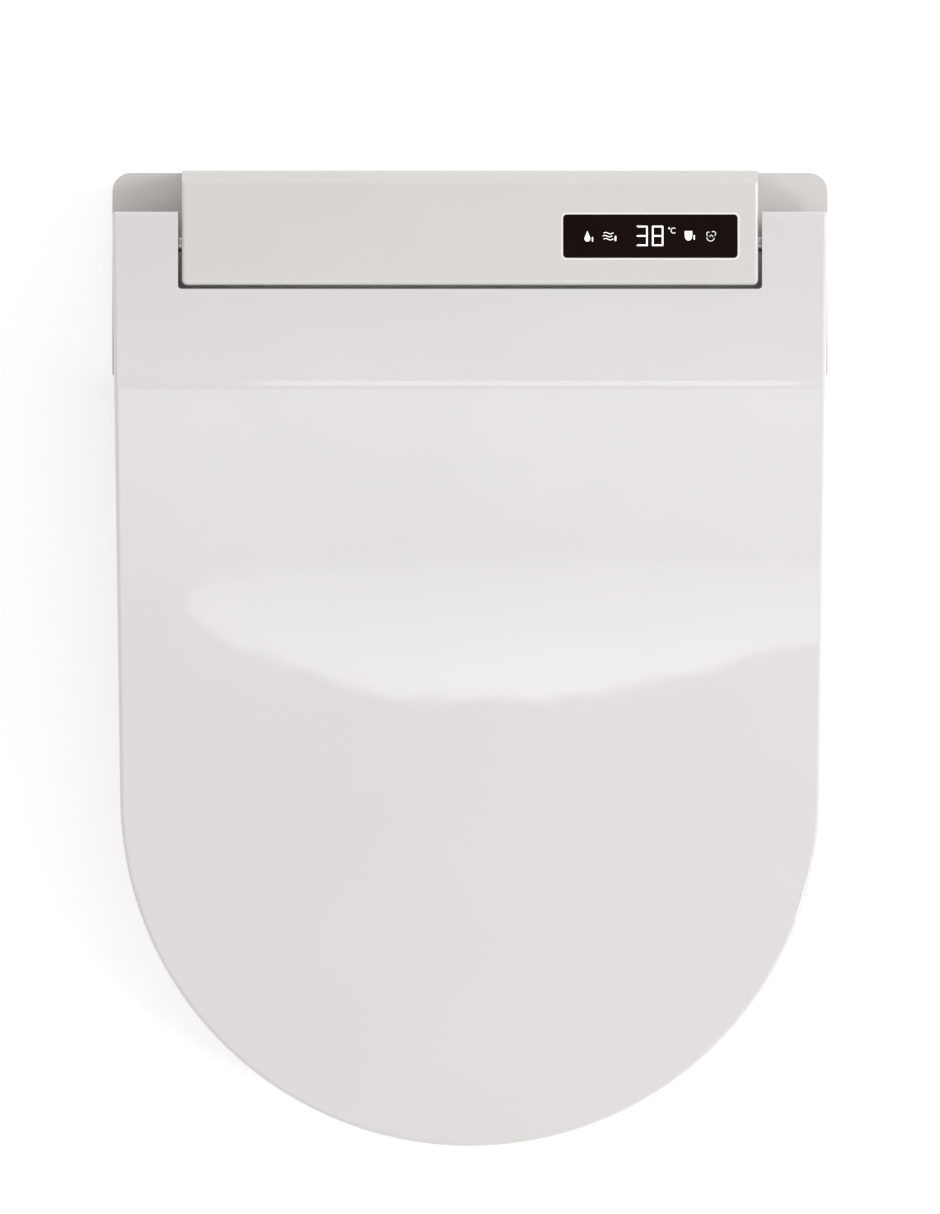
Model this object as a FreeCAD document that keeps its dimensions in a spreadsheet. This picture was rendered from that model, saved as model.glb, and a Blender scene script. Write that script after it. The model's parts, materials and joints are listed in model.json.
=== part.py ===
import FreeCAD, Part
import math
import os
import re
import Sketcher
from FreeCAD import Placement, Rotation, Vector

# Electric bidet seat.  Millimetres.  The origin is midway between the two mounting bolts
# on the toilet's rim plane.  +Z is up, -Y is the front of the seat, +X is the sitter's left.

SIZES = {
    # Lid.
    "lid_half": 190,              # half width at the shoulders
    "front_half": 186.5,          # half width where the front arc starts, and its radius
    "arc_y": -273.5,              # centre of the front arc
    "lid_top": 100,
    "lid_front_top": 60,          # height of the lid's top at the front tip
    "skirt_gap": 3,               # from the top of the seat up to the lid's skirt
    "lid_wall": 3,
    "crease_y": -54,
    "ear_corner": 3,              # rear top edge of the lid beside the notch
    "lid_edge_round": 2.5,
    "notch_half": 155,
    "notch_y": -3,
    "notch_corner": 2,
    "skirt_step_y": -62,
    # Hinge line shared by the seat and the lid.
    "axis_y": 21,
    "knuckle_r": 17,
    "shaft_r": 4,
    "shaft_end_in": 4,            # from the lid's sides in to the ends of the hinge shafts
    "running_gap": 0.06,
    "lid_ear_x": 173,
    "seat_ear_x": 157,
    "seat_ear_wide": 13,
    "seat_ear_r": 9.5,
    "arm_toe": 28,                # how far the arms reach ahead of the seat's rear edge
    "arm_knee": 22,
    "arm_heel": 8,
    "arm_knee_drop": 3,
    "arm_elbow_front": 6,
    "arm_elbow_up": 4,
    "arm_neck": 2,
    "damper_drop": 9,             # from the lid's top down to the dampers
    "damper_long": 38,
    "damper_floor": 4,
    "bush_r": 7,
    # Rear unit.
    "body_half": 191,
    "body_rear": 60,
    "body_front": -48,
    "body_low": 3,
    "seam_z": 30,
    "deck_gap": 4,                # under the lid's knuckles, over the side decks
    "step_top": 80,
    "block_half": 153,
    "block_front": -1,
    "block_round": 2,
    "block_corner": 3,
    "block_bevel": 7,
    "body_corner": 10,
    "shell": 2.5,
    # Display.
    "display_x": 95.7,
    "display_y": 24.9,
    "display_wide": 92.6,
    "display_deep": 23,
    "display_corner": 2,
    "bezel_rim": 1.3,
    "window_thick": 1.8,
    "module_thick": 3.6,
    "board_thick": 1.6,
    # Seat ring.
    "seat_inset": 4,              # how far the seat's edge lies inside the lid's
    "seat_rear": -52,
    "seat_corner": 12,
    "seat_low": 16,
    "seat_top": 44,
    "seat_wall": 3,
    "seat_round": 6,
    "opening_half": 108,
    "opening_rear_y": -228,
    "opening_front_y": -290,
    "tunnel_low_x": -20,
    "tunnel_high_x": 64,
    "tunnel_top": 36,
    "pan_thick": 2,
    "foil_inset": 14,
    "foil_thick": 0.4,
    "foot_r": 11,
    "foot_chamfer": 1.5,
    "foot_rear_x": 148,
    "foot_rear_y": -150,
    "foot_front_x": 110,
    "foot_front_y": -370,
    "lid_bumper_r": 7,
    "lid_bumper_rear_x": 150,
    "lid_bumper_rear_y": -130,
    "lid_bumper_front_x": 110,
    "lid_bumper_front_y": -395,
    "liner_drop": 8,              # from the lid's top down to its liner's upper face
    "liner_thick": 2,
    "liner_rear": -86,
    "rest_gap": 0.3,
    # Mounting plate and release latch.
    "bolt_spacing": 140,
    "slot_r": 5.5,
    "slot_long": 28,
    "plate_half": 98,
    "plate_front": -20,
    "plate_rear": 32,
    "plate_thick": 4,
    "ledge_half": 92,
    "recess_top": 14,
    "fit_gap": 0.3,
    "lug_x": 82,
    "lug_wide": 6,
    "lug_front": -19,
    "lug_deep": 4,
    "lug_top": 10,
    "tooth_deep": 4.8,
    "latch_low": 7,
    "latch_high": 11,
    "latch_gap": 0.2,
    "button_deep": 10,
    "button_front": -20,
    "button_rear": -4,
    "button_low": 6.5,
    "button_high": 18,
    # Nozzle.  It slides down and forwards along a line this many degrees below level.
    "slope": 15,
    "tip_y": -100,
    "tip_z": 8,
    "wand_r": 6,
    "wand_bore": 3.06,
    "feed_r": 3,
    "hose_wall": 0.8,
    "feed_from": 12,              # along the wand, back from its tip
    "feed_past": 4,               # how far the feed tube stands out of the guide
    "wand_long": 118,
    "tip_long": 22,
    "tip_chamfer": 1.5,
    "tip_cap": 9,                 # how thick the tip's closed end is
    "jet_r": 0.9,
    "jet_front": 11,              # along the wand, back from its tip
    "jet_rear": 16,
    "rack_half": 3,
    "tooth_module": 1,
    "pinion_teeth": 14,
    "pinion_at": 110,             # along the wand, back from its tip
    "rack_pitch_r": 8,
    "slide_gap": 0.1,
    "guide_wall": 2,
    "guide_from": 26,             # along the wand, back from its tip
    "guide_to": 124,
    "guide_lip": 4,
    "guide_tab_down": 8,
    "guide_tab_half": 11,
    "guide_foot_front_y": -66,
    "guide_foot_rear_y": 0,
    "guide_foot_wide": 10,
    "guide_foot_deep": 6,
    "nose_low_x": -16.5,
    "nose_high_x": 60.5,
    "nose_front": -108,
    "nose_clear": 12.4,
    "nose_chamfer": 2,
    "wand_window_gap": 1.5,
    "wand_window_long": 36,
    "wand_window_top": 8.2,         # above the wand tip's height
    "motor_r": 11,
    "motor_long": 18,
    "motor_shaft_r": 1.5,
    # Warm air dryer.
    "blower_x": 66,
    "blower_y": 12,
    "blower_low": 26,
    "blower_high": 50,
    "blower_r": 32,
    "blower_wall": 1.8,
    "impeller_r": 26,
    "blower_eye": 14,
    "blower_leg_r": 3.5,
    "blower_leg_out": 20,
    "spout_roof": 4,
    "impeller_gap": 2,            # under the impeller's disc
    "impeller_disc": 1.5,
    "impeller_hub_r": 5,
    "impeller_high": 15,
    "impeller_blades": 24,
    "impeller_blade_deep": 8,
    "impeller_blade_lean": 25,    # degrees
    "blower_motor_r": 12,
    "blower_motor_high": 16,
    "duct_low_x": 34,
    "duct_high_x": 56,
    "duct_high": 9,
    "duct_wall": 1.2,
    "duct_rear": -20,
    "duct_z": 12.5,               # height of the duct's middle where y is the wand tip's
    "mouth_top": 1.5,             # above the duct's middle
    "mica_front": -72,
    "mica_rear": -30,
    "mica_half": 0.4,
    "rib_front": -68,
    "rib_rear": -34,
    "rib_half": 2,
    "rib_in": 3,
    "rib_wide": 1.5,
    "rib_pitch": 3.5,
    "flap_thick": 1.4,
    "flap_high": 11,
    "flap_low": 2.5,               # above the housing's underside
    "flap_side_gap": 0.5,
    # Deodoriser.
    "filter_low_x": -106,
    "filter_high_x": -66,
    "filter_low_y": -45.5,
    "filter_wall": 2,
    "filter_high_y": -14,
    "filter_low_z": 18,
    "filter_high_z": 54,
    "grille_in": 4,
    "grille_wide": 4,
    "grille_pitch": 7,
    "grille_low": 2,
    "grille_high": 3,
    "fan_deep": 16,
    "fan_r": 15,
    "fan_motor_r": 8,
    "fan_motor_long": 12,
    "fan_bar_deep": 2,
    "fan_bar_half": 3,
    "fan_blades": 7,
    "fan_blade_lean": 32,         # degrees
    "fan_hub_r": 5,
    "fan_hub_long": 8,
    "fan_tip_gap": 0.8,
    # Water heater and its valve.
    "tank_low_x": -112,
    "tank_high_x": -44,
    "tank_low_y": 37,
    "tank_high_y": 56,
    "tank_low_z": 20,
    "tank_high_z": 70,
    "tank_wall": 2,
    "tank_cap": 4,
    "tank_foot_in": 4,
    "tank_foot_wide": 12,
    "tank_port_y": 46,
    "tank_inlet_z": 30,
    "tank_outlet_z": 60,
    "element_in": 18,
    "element_up": 6,
    "element_r": 4,
    "inlet_x": -168,
    "inlet_y": 30,
    "inlet_r": 10.48,
    "inlet_low": 5,
    "well_r": 17,
    "well_top": 24,
    "elbow_r": 12,
    "elbow_top": 46,
    "elbow_arm_z": 38,
    "elbow_arm_r": 7,
    "elbow_bore_r": 4,
    "strainer_z": 18,
    "strainer_r": 7,
    "strainer_thick": 1.5,
    "valve_low_x": -148,
    "valve_high_x": -124,
    "valve_low_z": 28,
    "valve_high_z": 48,
    "valve_half": 12,
    "valve_foot_half": 10,
    "valve_seat_up": 6,
    "coil_r": 11,
    "coil_high": 22,
    "plunger_r": 4,
    "plunger_long": 9,
    "spring_r": 3,
    "spring_wire": 0.5,
    "spring_pitch": 1.8,
    "flow_low_y": -14,
    "flow_high_y": 6,
    "flow_cap_r": 8,
    "link_z": 18,
    "hose_r": 4,
    # Electronics.
    "main_low_x": 104,
    "main_high_x": 148,
    "main_low_y": -40,
    "main_high_y": 50,
    "main_z": 14,
    "power_in": 6,
    "power_front": -4,
    "power_rear": 30,
    "power_high": 33,
    "can_r": 6,
    "can_high": 22,
    "can_y": -28,
    "can_in": 10,
    "can_pitch": 16,
    "cable_x": 24,                # from the display's middle
    "cable_wide": 16,
    "cable_y": 36.5,
    "cable_thick": 0.6,
    "gland_x": 128,
    "gland_z": 40,
    "gland_r": 7,
    "gland_bore": 3.8,
    "gland_deep": 9,
    "gland_collar": 2,
    # Fixings.
    "screw_r": 2,
    "screw_head_r": 4,
    "screw_head": 2,
    "screw_top": 44,
    "boss_r": 5,
    "screw_x": 180,
    "screw_front": -38,
    "screw_rear": 50,
    "pad_half": 9,
    "pad_x": 120,
    "pad_front_y": -34,
    "pad_rear_y": 48,
    "board_post_r": 3,
    "board_post_in": 6,
    "far": 600,                   # how far a cutting outline reaches past the piece
}

# Sizes that follow from others.
TIED = {
    "axis_z": "(lid_top - knuckle_r)",
    "deck_top": "(lid_top - 2 * knuckle_r - deck_gap)",
    "lid_skirt_low": "(seat_top + skirt_gap)",
    "damper_r": "(knuckle_r - damper_drop)",
}

doc = FreeCAD.newDocument("electric_bidet_seat")
sheet = doc.addObject("Spreadsheet::Sheet", "Sizes")
for row, (word, value) in enumerate(SIZES.items(), 1):
    sheet.set(f"A{row}", word)
    sheet.set(f"B{row}", str(value))
    sheet.setAlias(f"B{row}", word)
doc.recompute()

NODES = []
PLANES = {"XY": "XY_Plane", "XZ": "XZ_Plane", "YZ": "YZ_Plane"}


def cells(text):
    """Write a size expression with each named value as its spreadsheet cell."""
    def cell(match):
        word = match.group()
        if word in TIED:
            return cells(TIED[word])
        return "Sizes." + word if word in SIZES else word
    return re.sub(r"[a-z_]+", cell, str(text))


def size(text):
    return float(sheet.evalExpression(cells(text)))


def keep(name, item):
    item.Label = name
    NODES.append((name, item))
    return item


def origin_plane(body, plane):
    return next(f for f in body.Origin.OriginFeatures if f.Role == PLANES[plane])


def pin_point(sketch, index, end, texts, kinds=("DistanceX", "DistanceY")):
    for kind, text in zip(kinds, texts):
        if text is None:
            continue
        number = sketch.addConstraint(Sketcher.Constraint(kind, -1, 1, index, end, size(text)))
        sketch.setExpression(f"Constraints[{number}]", cells(text))


def draw_loop(sketch, loop):
    """Draw a closed outline.  A corner is (x, y), or (x, y, centre x, centre y, turn) where the
    side that leaves it is an arc, turning +1 anticlockwise or -1 clockwise."""
    if loop[0] == "circle":
        x, y, radius = loop[1:]
        circle = Part.Circle(Vector(size(x), size(y), 0), Vector(0, 0, 1), size(radius))
        index = sketch.addGeometry(circle)
        pin_point(sketch, index, 3, (x, y))
        number = sketch.addConstraint(Sketcher.Constraint("Radius", index, size(radius)))
        sketch.setExpression(f"Constraints[{number}]", cells(radius))
        return
    first = sketch.GeometryCount
    count = len(loop)
    starts = []
    for here, corner in enumerate(loop):
        after = loop[(here + 1) % count]
        a = Vector(size(corner[0]), size(corner[1]), 0)
        b = Vector(size(after[0]), size(after[1]), 0)
        if len(corner) == 2:
            sketch.addGeometry(Part.LineSegment(a, b))
            starts.append((1, 2))
            continue
        centre = Vector(size(corner[2]), size(corner[3]), 0)
        circle = Part.Circle(centre, Vector(0, 0, 1), (a - centre).Length)
        begin, end = (a, b) if corner[4] > 0 else (b, a)
        angles = [math.atan2((p - centre).y, (p - centre).x) for p in (begin, end)]
        if angles[1] < angles[0]:
            angles[1] += 2 * math.pi
        sketch.addGeometry(Part.ArcOfCircle(circle, *angles))
        starts.append((1, 2) if corner[4] > 0 else (2, 1))
    for here, corner in enumerate(loop):
        after = (here + 1) % count
        sketch.addConstraint(Sketcher.Constraint(
            "Coincident", first + here, starts[here][1], first + after, starts[after][0]))
        pin_point(sketch, first + here, starts[here][0], corner[:2])
        if len(corner) == 5:
            level = abs(size(corner[1]) - size(loop[after][1])) < 1e-6
            texts = (None, corner[3]) if level else (corner[2], None)
            pin_point(sketch, first + here, 3, texts)


def solid(name, plane, loops, low, high):
    """A prism of the outlines on an origin plane, between two distances from that plane."""
    body = doc.addObject("PartDesign::Body", name)
    sketch = body.newObject("Sketcher::SketchObject", name + "_sketch")
    sketch.AttachmentSupport = (origin_plane(body, plane), [""])
    sketch.MapMode = "FlatFace"
    offset = f"-({high})" if plane == "XZ" else low
    sketch.setExpression("AttachmentOffset.Base.z", cells(offset))
    for loop in loops:
        draw_loop(sketch, loop)
    pad = body.newObject("PartDesign::Pad", name + "_pad")
    pad.Profile = sketch
    pad.setExpression("Length", cells(f"({high}) - ({low})"))
    return body


def rectangle(x, y):
    return [(x[0], y[0]), (x[1], y[0]), (x[1], y[1]), (x[0], y[1])]


def rounded_rectangle(x, y, corner):
    inner_x = (f"{x[0]} + {corner}", f"{x[1]} - {corner}")
    inner_y = (f"{y[0]} + {corner}", f"{y[1]} - {corner}")
    return [
        (x[1], inner_y[0]), (x[1], inner_y[1], inner_x[1], inner_y[1], 1),
        (inner_x[1], y[1]), (inner_x[0], y[1], inner_x[0], inner_y[1], 1),
        (x[0], inner_y[1]), (x[0], inner_y[0], inner_x[0], inner_y[0], 1),
        (inner_x[0], y[0]), (inner_x[1], y[0], inner_x[1], inner_y[0], 1),
    ]


def block(name, x, y, z):
    return solid(name, "XY", [rectangle(x, y)], z[0], z[1])


def rod(name, along, at, radius, length, bore=None):
    """A round bar or tube that starts at a point and runs along one axis."""
    body = doc.addObject("PartDesign::Body", name)
    sketch = body.newObject("Sketcher::SketchObject", name + "_sketch")
    sketch.AttachmentSupport = (origin_plane(body, "XY"), [""])
    sketch.MapMode = "FlatFace"
    draw_loop(sketch, ("circle", "0", "0", radius))
    if bore:
        draw_loop(sketch, ("circle", "0", "0", bore))
    pad = body.newObject("PartDesign::Pad", name + "_pad")
    pad.Profile = sketch
    pad.setExpression("Length", cells(length))
    turn = {"x": Rotation(Vector(0, 1, 0), 90), "y": Rotation(Vector(1, 0, 0), -90),
            "z": Rotation()}[along]
    body.Placement = Placement(Vector(), turn)
    for letter, text in zip("xyz", at):
        body.setExpression("Placement.Base." + letter, cells(text))
    return body


def turned(name, profile, at):
    """A solid of revolution about a vertical line, from a profile of (radius, height)."""
    body = doc.addObject("PartDesign::Body", name)
    sketch = body.newObject("Sketcher::SketchObject", name + "_sketch")
    sketch.AttachmentSupport = (origin_plane(body, "XZ"), [""])
    sketch.MapMode = "FlatFace"
    draw_loop(sketch, profile)
    turn = body.newObject("PartDesign::Revolution", name + "_turn")
    turn.Profile = sketch
    turn.ReferenceAxis = (sketch, ["V_Axis"])
    turn.Angle = 360
    for letter, text in zip("xyz", at):
        body.setExpression("Placement.Base." + letter, cells(text))
    return body


def cut(name, base, *tools):
    tool = tools[0] if len(tools) == 1 else join(name + "_tools", *tools)
    item = doc.addObject("Part::Cut", name)
    item.Base = base
    item.Tool = tool
    doc.recompute()
    return item


def join(name, *items):
    item = doc.addObject("Part::MultiFuse", name)
    item.Shapes = list(items)
    item.Refine = True
    doc.recompute()
    return item


def common(name, *items):
    item = doc.addObject("Part::MultiCommon", name)
    item.Shapes = list(items)
    doc.recompute()
    return item


def group(name, items):
    item = doc.addObject("Part::Compound", name)
    item.Links = list(items)
    doc.recompute()
    return item


def soften(name, base, radius, wanted):
    """Round the edges of a solid that a test on their ends and middle picks out."""
    doc.recompute()
    item = doc.addObject("Part::Fillet", name)
    item.Base = base
    reach = size(radius)
    item.Edges = [(number, reach, reach)
                  for number, edge in enumerate(base.Shape.Edges, 1) if wanted(edge)]
    doc.recompute()
    return item


def mirrored(name, base):
    item = doc.addObject("Part::Mirroring", name)
    item.Source = base
    item.Normal = Vector(1, 0, 0)
    doc.recompute()
    return item


def middle(edge):
    return edge.valueAt((edge.FirstParameter + edge.LastParameter) / 2)


def rests_at(edge, height):
    box = edge.BoundBox
    return abs(box.ZMin - height) < 0.01 and abs(box.ZMax - height) < 0.01


def slanted(item, along, up="0"):
    """Set a piece on the nozzle's line.  Its own +Z runs back up the slope from the wand's tip
    and its own -Y is square to the slope and upwards."""
    item.Placement = Placement(Vector(), Rotation(Vector(1, 0, 0), -(90 - size("slope"))))
    item.setExpression("Placement.Base.y", cells(
        f"tip_y + ({along}) * cos(slope * 1 deg) - ({up}) * sin(slope * 1 deg)"))
    item.setExpression("Placement.Base.z", cells(
        f"tip_z + ({along}) * sin(slope * 1 deg) + ({up}) * cos(slope * 1 deg)"))
    return item


SIDE_LEAN = "((lid_half - front_half) / (axis_y + knuckle_r - arc_y))"


def d_outline(inset, rear, corner):
    """The seat's plan: two nearly straight sides, a round front and a square rear."""
    front = f"(front_half - {inset})"
    slant = f"sqrt(1 + {SIDE_LEAN} * {SIDE_LEAN})"
    side = f"({front} * {slant} + ({rear} - {corner} - arc_y) * {SIDE_LEAN})"
    start_y = f"(arc_y - {front} * {SIDE_LEAN} / {slant})"
    return [
        (side, f"{rear} - {corner}", f"{side} - {corner}", f"{rear} - {corner}", 1),
        (f"{side} - {corner}", rear),
        (f"{corner} - {side}", rear, f"{corner} - {side}", f"{rear} - {corner}", 1),
        (f"-{side}", f"{rear} - {corner}"),
        (f"-{front} / {slant}", start_y, "0", "arc_y", 1),
        (f"{front} / {slant}", start_y),
    ]


def opening_outline(outset):
    reach = f"(opening_half + {outset})"
    return [
        (reach, "opening_rear_y", "0", "opening_rear_y", 1),
        (f"-{reach}", "opening_rear_y"),
        (f"-{reach}", "opening_front_y", "0", "opening_front_y", 1),
        (reach, "opening_front_y"),
    ]


LID_SLOPE = "((lid_top - lid_front_top) / (crease_y - arc_y + front_half))"


def lid_line(drop, y):
    """Height of a line parallel to the lid's sloping top, a little below it."""
    return f"(lid_top - {drop} - (crease_y - ({y})) * {LID_SLOPE})"


# ---------------------------------------------------------------- lid

def lid_outer():
    rear = "(axis_y + knuckle_r)"
    front = "(arc_y - front_half - 4)"
    plan = solid("lid_plan", "XY", [d_outline("0", f"({rear} + 10)", "1")], "0", "far")
    side = solid("lid_side", "YZ", [[
        ("crease_y", "lid_top"),
        (front, lid_line("0", front)),
        (front, "lid_skirt_low"),
        ("skirt_step_y", "lid_skirt_low"),
        ("body_front", "axis_z - knuckle_r"),
        ("axis_y + 3", "axis_z - knuckle_r"),
        (rear, "axis_z - 4"),
        (rear, "lid_top - ear_corner", f"{rear} - ear_corner", "lid_top - ear_corner", 1),
        (f"{rear} - ear_corner", "lid_top"),
    ]], "-far", "far")
    whole = common("lid_whole", plan, side)
    notch = solid("lid_notch", "XY", [[
        ("-notch_half", "notch_y + notch_corner", "notch_corner - notch_half",
         "notch_y + notch_corner", 1),
        ("notch_corner - notch_half", "notch_y"),
        ("notch_half - notch_corner", "notch_y", "notch_half - notch_corner",
         "notch_y + notch_corner", 1),
        ("notch_half", "notch_y + notch_corner"),
        ("notch_half", "far"),
        ("-notch_half", "far"),
    ]], "0", "far")
    notched = cut("lid_notched", whole, notch)
    top = size("lid_top")
    slope = size(LID_SLOPE)
    crease = size("crease_y")

    def on_rim(edge):
        """The top's edge along the two sides and the round front."""
        points = [v.Point for v in edge.Vertexes] + [middle(edge)]
        if any(abs(p.x) < size("notch_half") + 2 for p in points[:-1]):
            return False
        heights = [top - max(0, crease - p.y) * slope for p in points]
        return all(abs(p.z - h) < 0.02 for p, h in zip(points, heights))

    rounded = soften("lid_rounded", notched, "lid_edge_round", on_rim)
    hollow_plan = solid("lid_hollow_plan", "XY",
                        [d_outline("lid_wall", "(axis_y + knuckle_r + 10)", "1")], "0", "far")
    hollow_side = solid("lid_hollow_side", "YZ", [[
        ("axis_y", "lid_top - lid_wall"),
        ("crease_y", "lid_top - lid_wall"),
        (front, lid_line("lid_wall", front)),
        (front, "0"),
        ("axis_y + knuckle_r - lid_wall", "0"),
        ("axis_y + knuckle_r - lid_wall", "axis_z", "axis_y", "axis_z", 1),
    ]], "-far", "far")
    hollow = common("lid_hollow", hollow_plan, hollow_side)
    shell = cut("lid_shell", rounded, hollow)
    ears = []
    for name, start in (("right", "lid_ear_x"), ("left", "-(lid_half - lid_wall) - 0.5")):
        ears.append(rod(f"lid_ear_{name}", "x", (start, "axis_y", "axis_z"),
                        "knuckle_r - lid_wall + 0.4", "lid_half - lid_wall + 0.5 - lid_ear_x"))
    solid_lid = join("lid_with_ears", shell, *ears)
    bores = []
    for name, start, radius in (("right", "lid_ear_x - 1", "shaft_r"),
                                ("left", "-lid_half + shaft_end_in",
                                 "shaft_r + running_gap")):
        bores.append(rod(f"lid_bore_{name}", "x", (start, "axis_y", "axis_z"), radius,
                         "lid_half - shaft_end_in - lid_ear_x + 1"))
    return keep("lid_outer", cut("lid_outer", solid_lid, *bores))


def lid_inner():
    front = "(arc_y - front_half)"
    rear = "liner_rear"
    lip = "(liner_rear - liner_thick)"
    low = "(liner_drop + liner_thick)"
    plan = solid("liner_plan", "XY", [d_outline("lid_wall", rear, "1")], "0", "far")
    side = solid("liner_side", "YZ", [[
        (rear, lid_line("lid_wall", rear)),
        (lip, lid_line("lid_wall", lip)),
        (lip, lid_line("liner_drop", lip)),
        (front, lid_line("liner_drop", front)),
        (front, lid_line(low, front)),
        (rear, lid_line(low, rear)),
    ]], "-far", "far")
    return keep("lid_inner", common("lid_inner", plan, side))


def four_spots(prefix):
    """The places of four feet, two on each side."""
    return [(sign + f"{prefix}_{row}_x", f"{prefix}_{row}_y")
            for row in ("rear", "front") for sign in ("", "-")]


def lid_bumpers():
    pads = []
    low = "(liner_drop + liner_thick)"
    front = "(arc_y - front_half)"
    for number, (x, y) in enumerate(four_spots("lid_bumper")):
        post = rod(f"lid_bumper_post_{number}", "z", (x, y, "seat_top + rest_gap"),
                   "lid_bumper_r", "far")
        under = solid(f"lid_bumper_cap_{number}", "YZ", [[
            ("liner_rear", "0"), ("liner_rear", lid_line(low, "liner_rear")),
            (front, lid_line(low, front)), (front, "0"),
        ]], "-far", "far")
        pads.append(common(f"lid_bumper_{number}", post, under))
    return keep("lid_bumpers", group("lid_bumpers", pads))


# ---------------------------------------------------------------- seat

def tunnel(name, top, spread):
    return block(name, (f"tunnel_low_x - {spread}", f"tunnel_high_x + {spread}"),
                 ("seat_rear - 90", "seat_rear + 10"), ("0", top))


def seat_upper():
    ring = solid("ring_whole", "XY", [d_outline("seat_inset", "seat_rear", "seat_corner"),
                                      opening_outline("0")], "seat_low", "seat_top")
    rounded = soften("ring_rounded", ring, "seat_round",
                     lambda edge: rests_at(edge, size("seat_top")))
    hollow = solid("ring_hollow", "XY", [
        d_outline("(seat_inset + seat_wall)", "(seat_rear - seat_wall)",
                  "(seat_corner - seat_wall)"),
        opening_outline("seat_wall")], "0", "seat_top - seat_wall")
    return keep("seat_upper", cut("seat_upper", rounded, hollow,
                                  tunnel("ring_tunnel", "tunnel_top", "0")))


def seat_lower():
    inner = [d_outline("(seat_inset + seat_wall)", "(seat_rear - seat_wall)",
                       "(seat_corner - seat_wall)"), opening_outline("seat_wall")]
    pan = solid("pan_floor", "XY", inner, "seat_low", "seat_low + pan_thick")
    roof = block("pan_roof", ("tunnel_low_x - pan_thick", "tunnel_high_x + pan_thick"),
                 ("seat_rear - 80", "seat_rear"), ("seat_low", "tunnel_top + pan_thick"))
    room = solid("pan_room", "XY", inner, "seat_low", "tunnel_top + pan_thick")
    arch = common("pan_arch", roof, room)
    whole = join("pan_whole", pan, arch)
    return keep("seat_lower", cut("seat_lower", whole, tunnel("pan_tunnel", "tunnel_top", "0")))


def seat_heater():
    foil = solid("seat_heater_foil", "XY", [
        d_outline("(seat_inset + foil_inset)", "(seat_rear - foil_inset)", "4"),
        opening_outline("foil_inset")],
        "seat_top - seat_wall - foil_thick", "seat_top - seat_wall")
    return keep("seat_heater", foil)


def seat_bumpers():
    feet = []
    for number, (x, y) in enumerate(four_spots("foot")):
        feet.append(turned(f"seat_foot_{number}", [
            ("0", "0"), ("foot_r - foot_chamfer", "0"), ("foot_r", "foot_chamfer"),
            ("foot_r", "seat_low"), ("0", "seat_low")], (x, y, "0")))
    return keep("seat_bumpers", group("seat_bumpers", feet))


def seat_arms():
    """A cranked arm each side joins the ring to the hinge line over the side decks."""
    beam = solid("arm_beam", "YZ", [[
        ("axis_y", "axis_z + seat_ear_r"), ("seat_rear", "axis_z + seat_ear_r"),
        ("seat_rear - arm_knee", "axis_z - arm_knee_drop"), ("seat_rear - arm_toe", "seat_top"),
        ("seat_rear - arm_heel", "seat_top"),
        ("body_front - arm_elbow_front", "deck_top + arm_elbow_up"),
        ("body_front + arm_neck", "axis_z - seat_ear_r"), ("axis_y", "axis_z - seat_ear_r"),
    ]], "seat_ear_x", "seat_ear_x + seat_ear_wide")
    ear = rod("arm_ear", "x", ("seat_ear_x", "axis_y", "axis_z"), "seat_ear_r", "seat_ear_wide")
    arm = join("arm_right_whole", beam, ear)
    left = mirrored("arm_left_whole", arm)
    right_bore = rod("arm_right_bore", "x", ("seat_ear_x - 1", "axis_y", "axis_z"),
                     "shaft_r + running_gap", "seat_ear_wide + 2")
    left_bore = rod("arm_left_bore", "x", ("-seat_ear_x - seat_ear_wide - 1", "axis_y", "axis_z"),
                    "shaft_r", "seat_ear_wide + 2")
    keep("seat_arm_right", cut("seat_arm_right", arm, right_bore))
    keep("seat_arm_left", cut("seat_arm_left", left, left_bore))


def hinge_parts():
    inner = "(block_half - shell)"
    deep = f"({inner} - damper_long + damper_floor)"
    keep("lid_hinge_shaft", rod("lid_hinge_shaft", "x", (deep, "axis_y", "axis_z"), "shaft_r",
                                f"lid_half - shaft_end_in - {deep}"))
    keep("seat_hinge_shaft", rod("seat_hinge_shaft", "x",
                                 ("shaft_end_in - lid_half", "axis_y", "axis_z"),
                                 "shaft_r", f"lid_half - shaft_end_in - {deep}"))
    for name, start, mouth in (("lid_damper", f"{inner} - damper_long", deep),
                               ("seat_damper", f"-{inner}", f"-{inner} - 1")):
        can = rod(name + "_can", "x", (start, "axis_y", "axis_z"), "damper_r", "damper_long")
        bore = rod(name + "_bore", "x", (mouth + " - 0.5", "axis_y", "axis_z"),
                   "shaft_r + running_gap", f"{inner} - {deep} + 2")
        keep(name, cut(name, can, bore))
    bushes = [rod(f"hinge_bush_{name}", "x", (start, "axis_y", "axis_z"), "bush_r", "shell",
                  "shaft_r + running_gap")
              for name, start in (("right", inner), ("left", "-block_half"))]
    keep("hinge_bushings", group("hinge_bushings", bushes))


# ---------------------------------------------------------------- rear unit

def body_outline(inset):
    side = f"(body_half - {inset})"
    rear = f"(body_rear - {inset})"
    front = f"(body_front + {inset})"
    corner = f"(body_corner - {inset})"
    return [
        (side, f"{rear} - {corner}", f"{side} - {corner}", f"{rear} - {corner}", 1),
        (f"{side} - {corner}", rear),
        (f"{corner} - {side}", rear, f"{corner} - {side}", f"{rear} - {corner}", 1),
        (f"-{side}", f"{rear} - {corner}"),
        (f"-{side}", front),
        (side, front),
    ]


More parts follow.
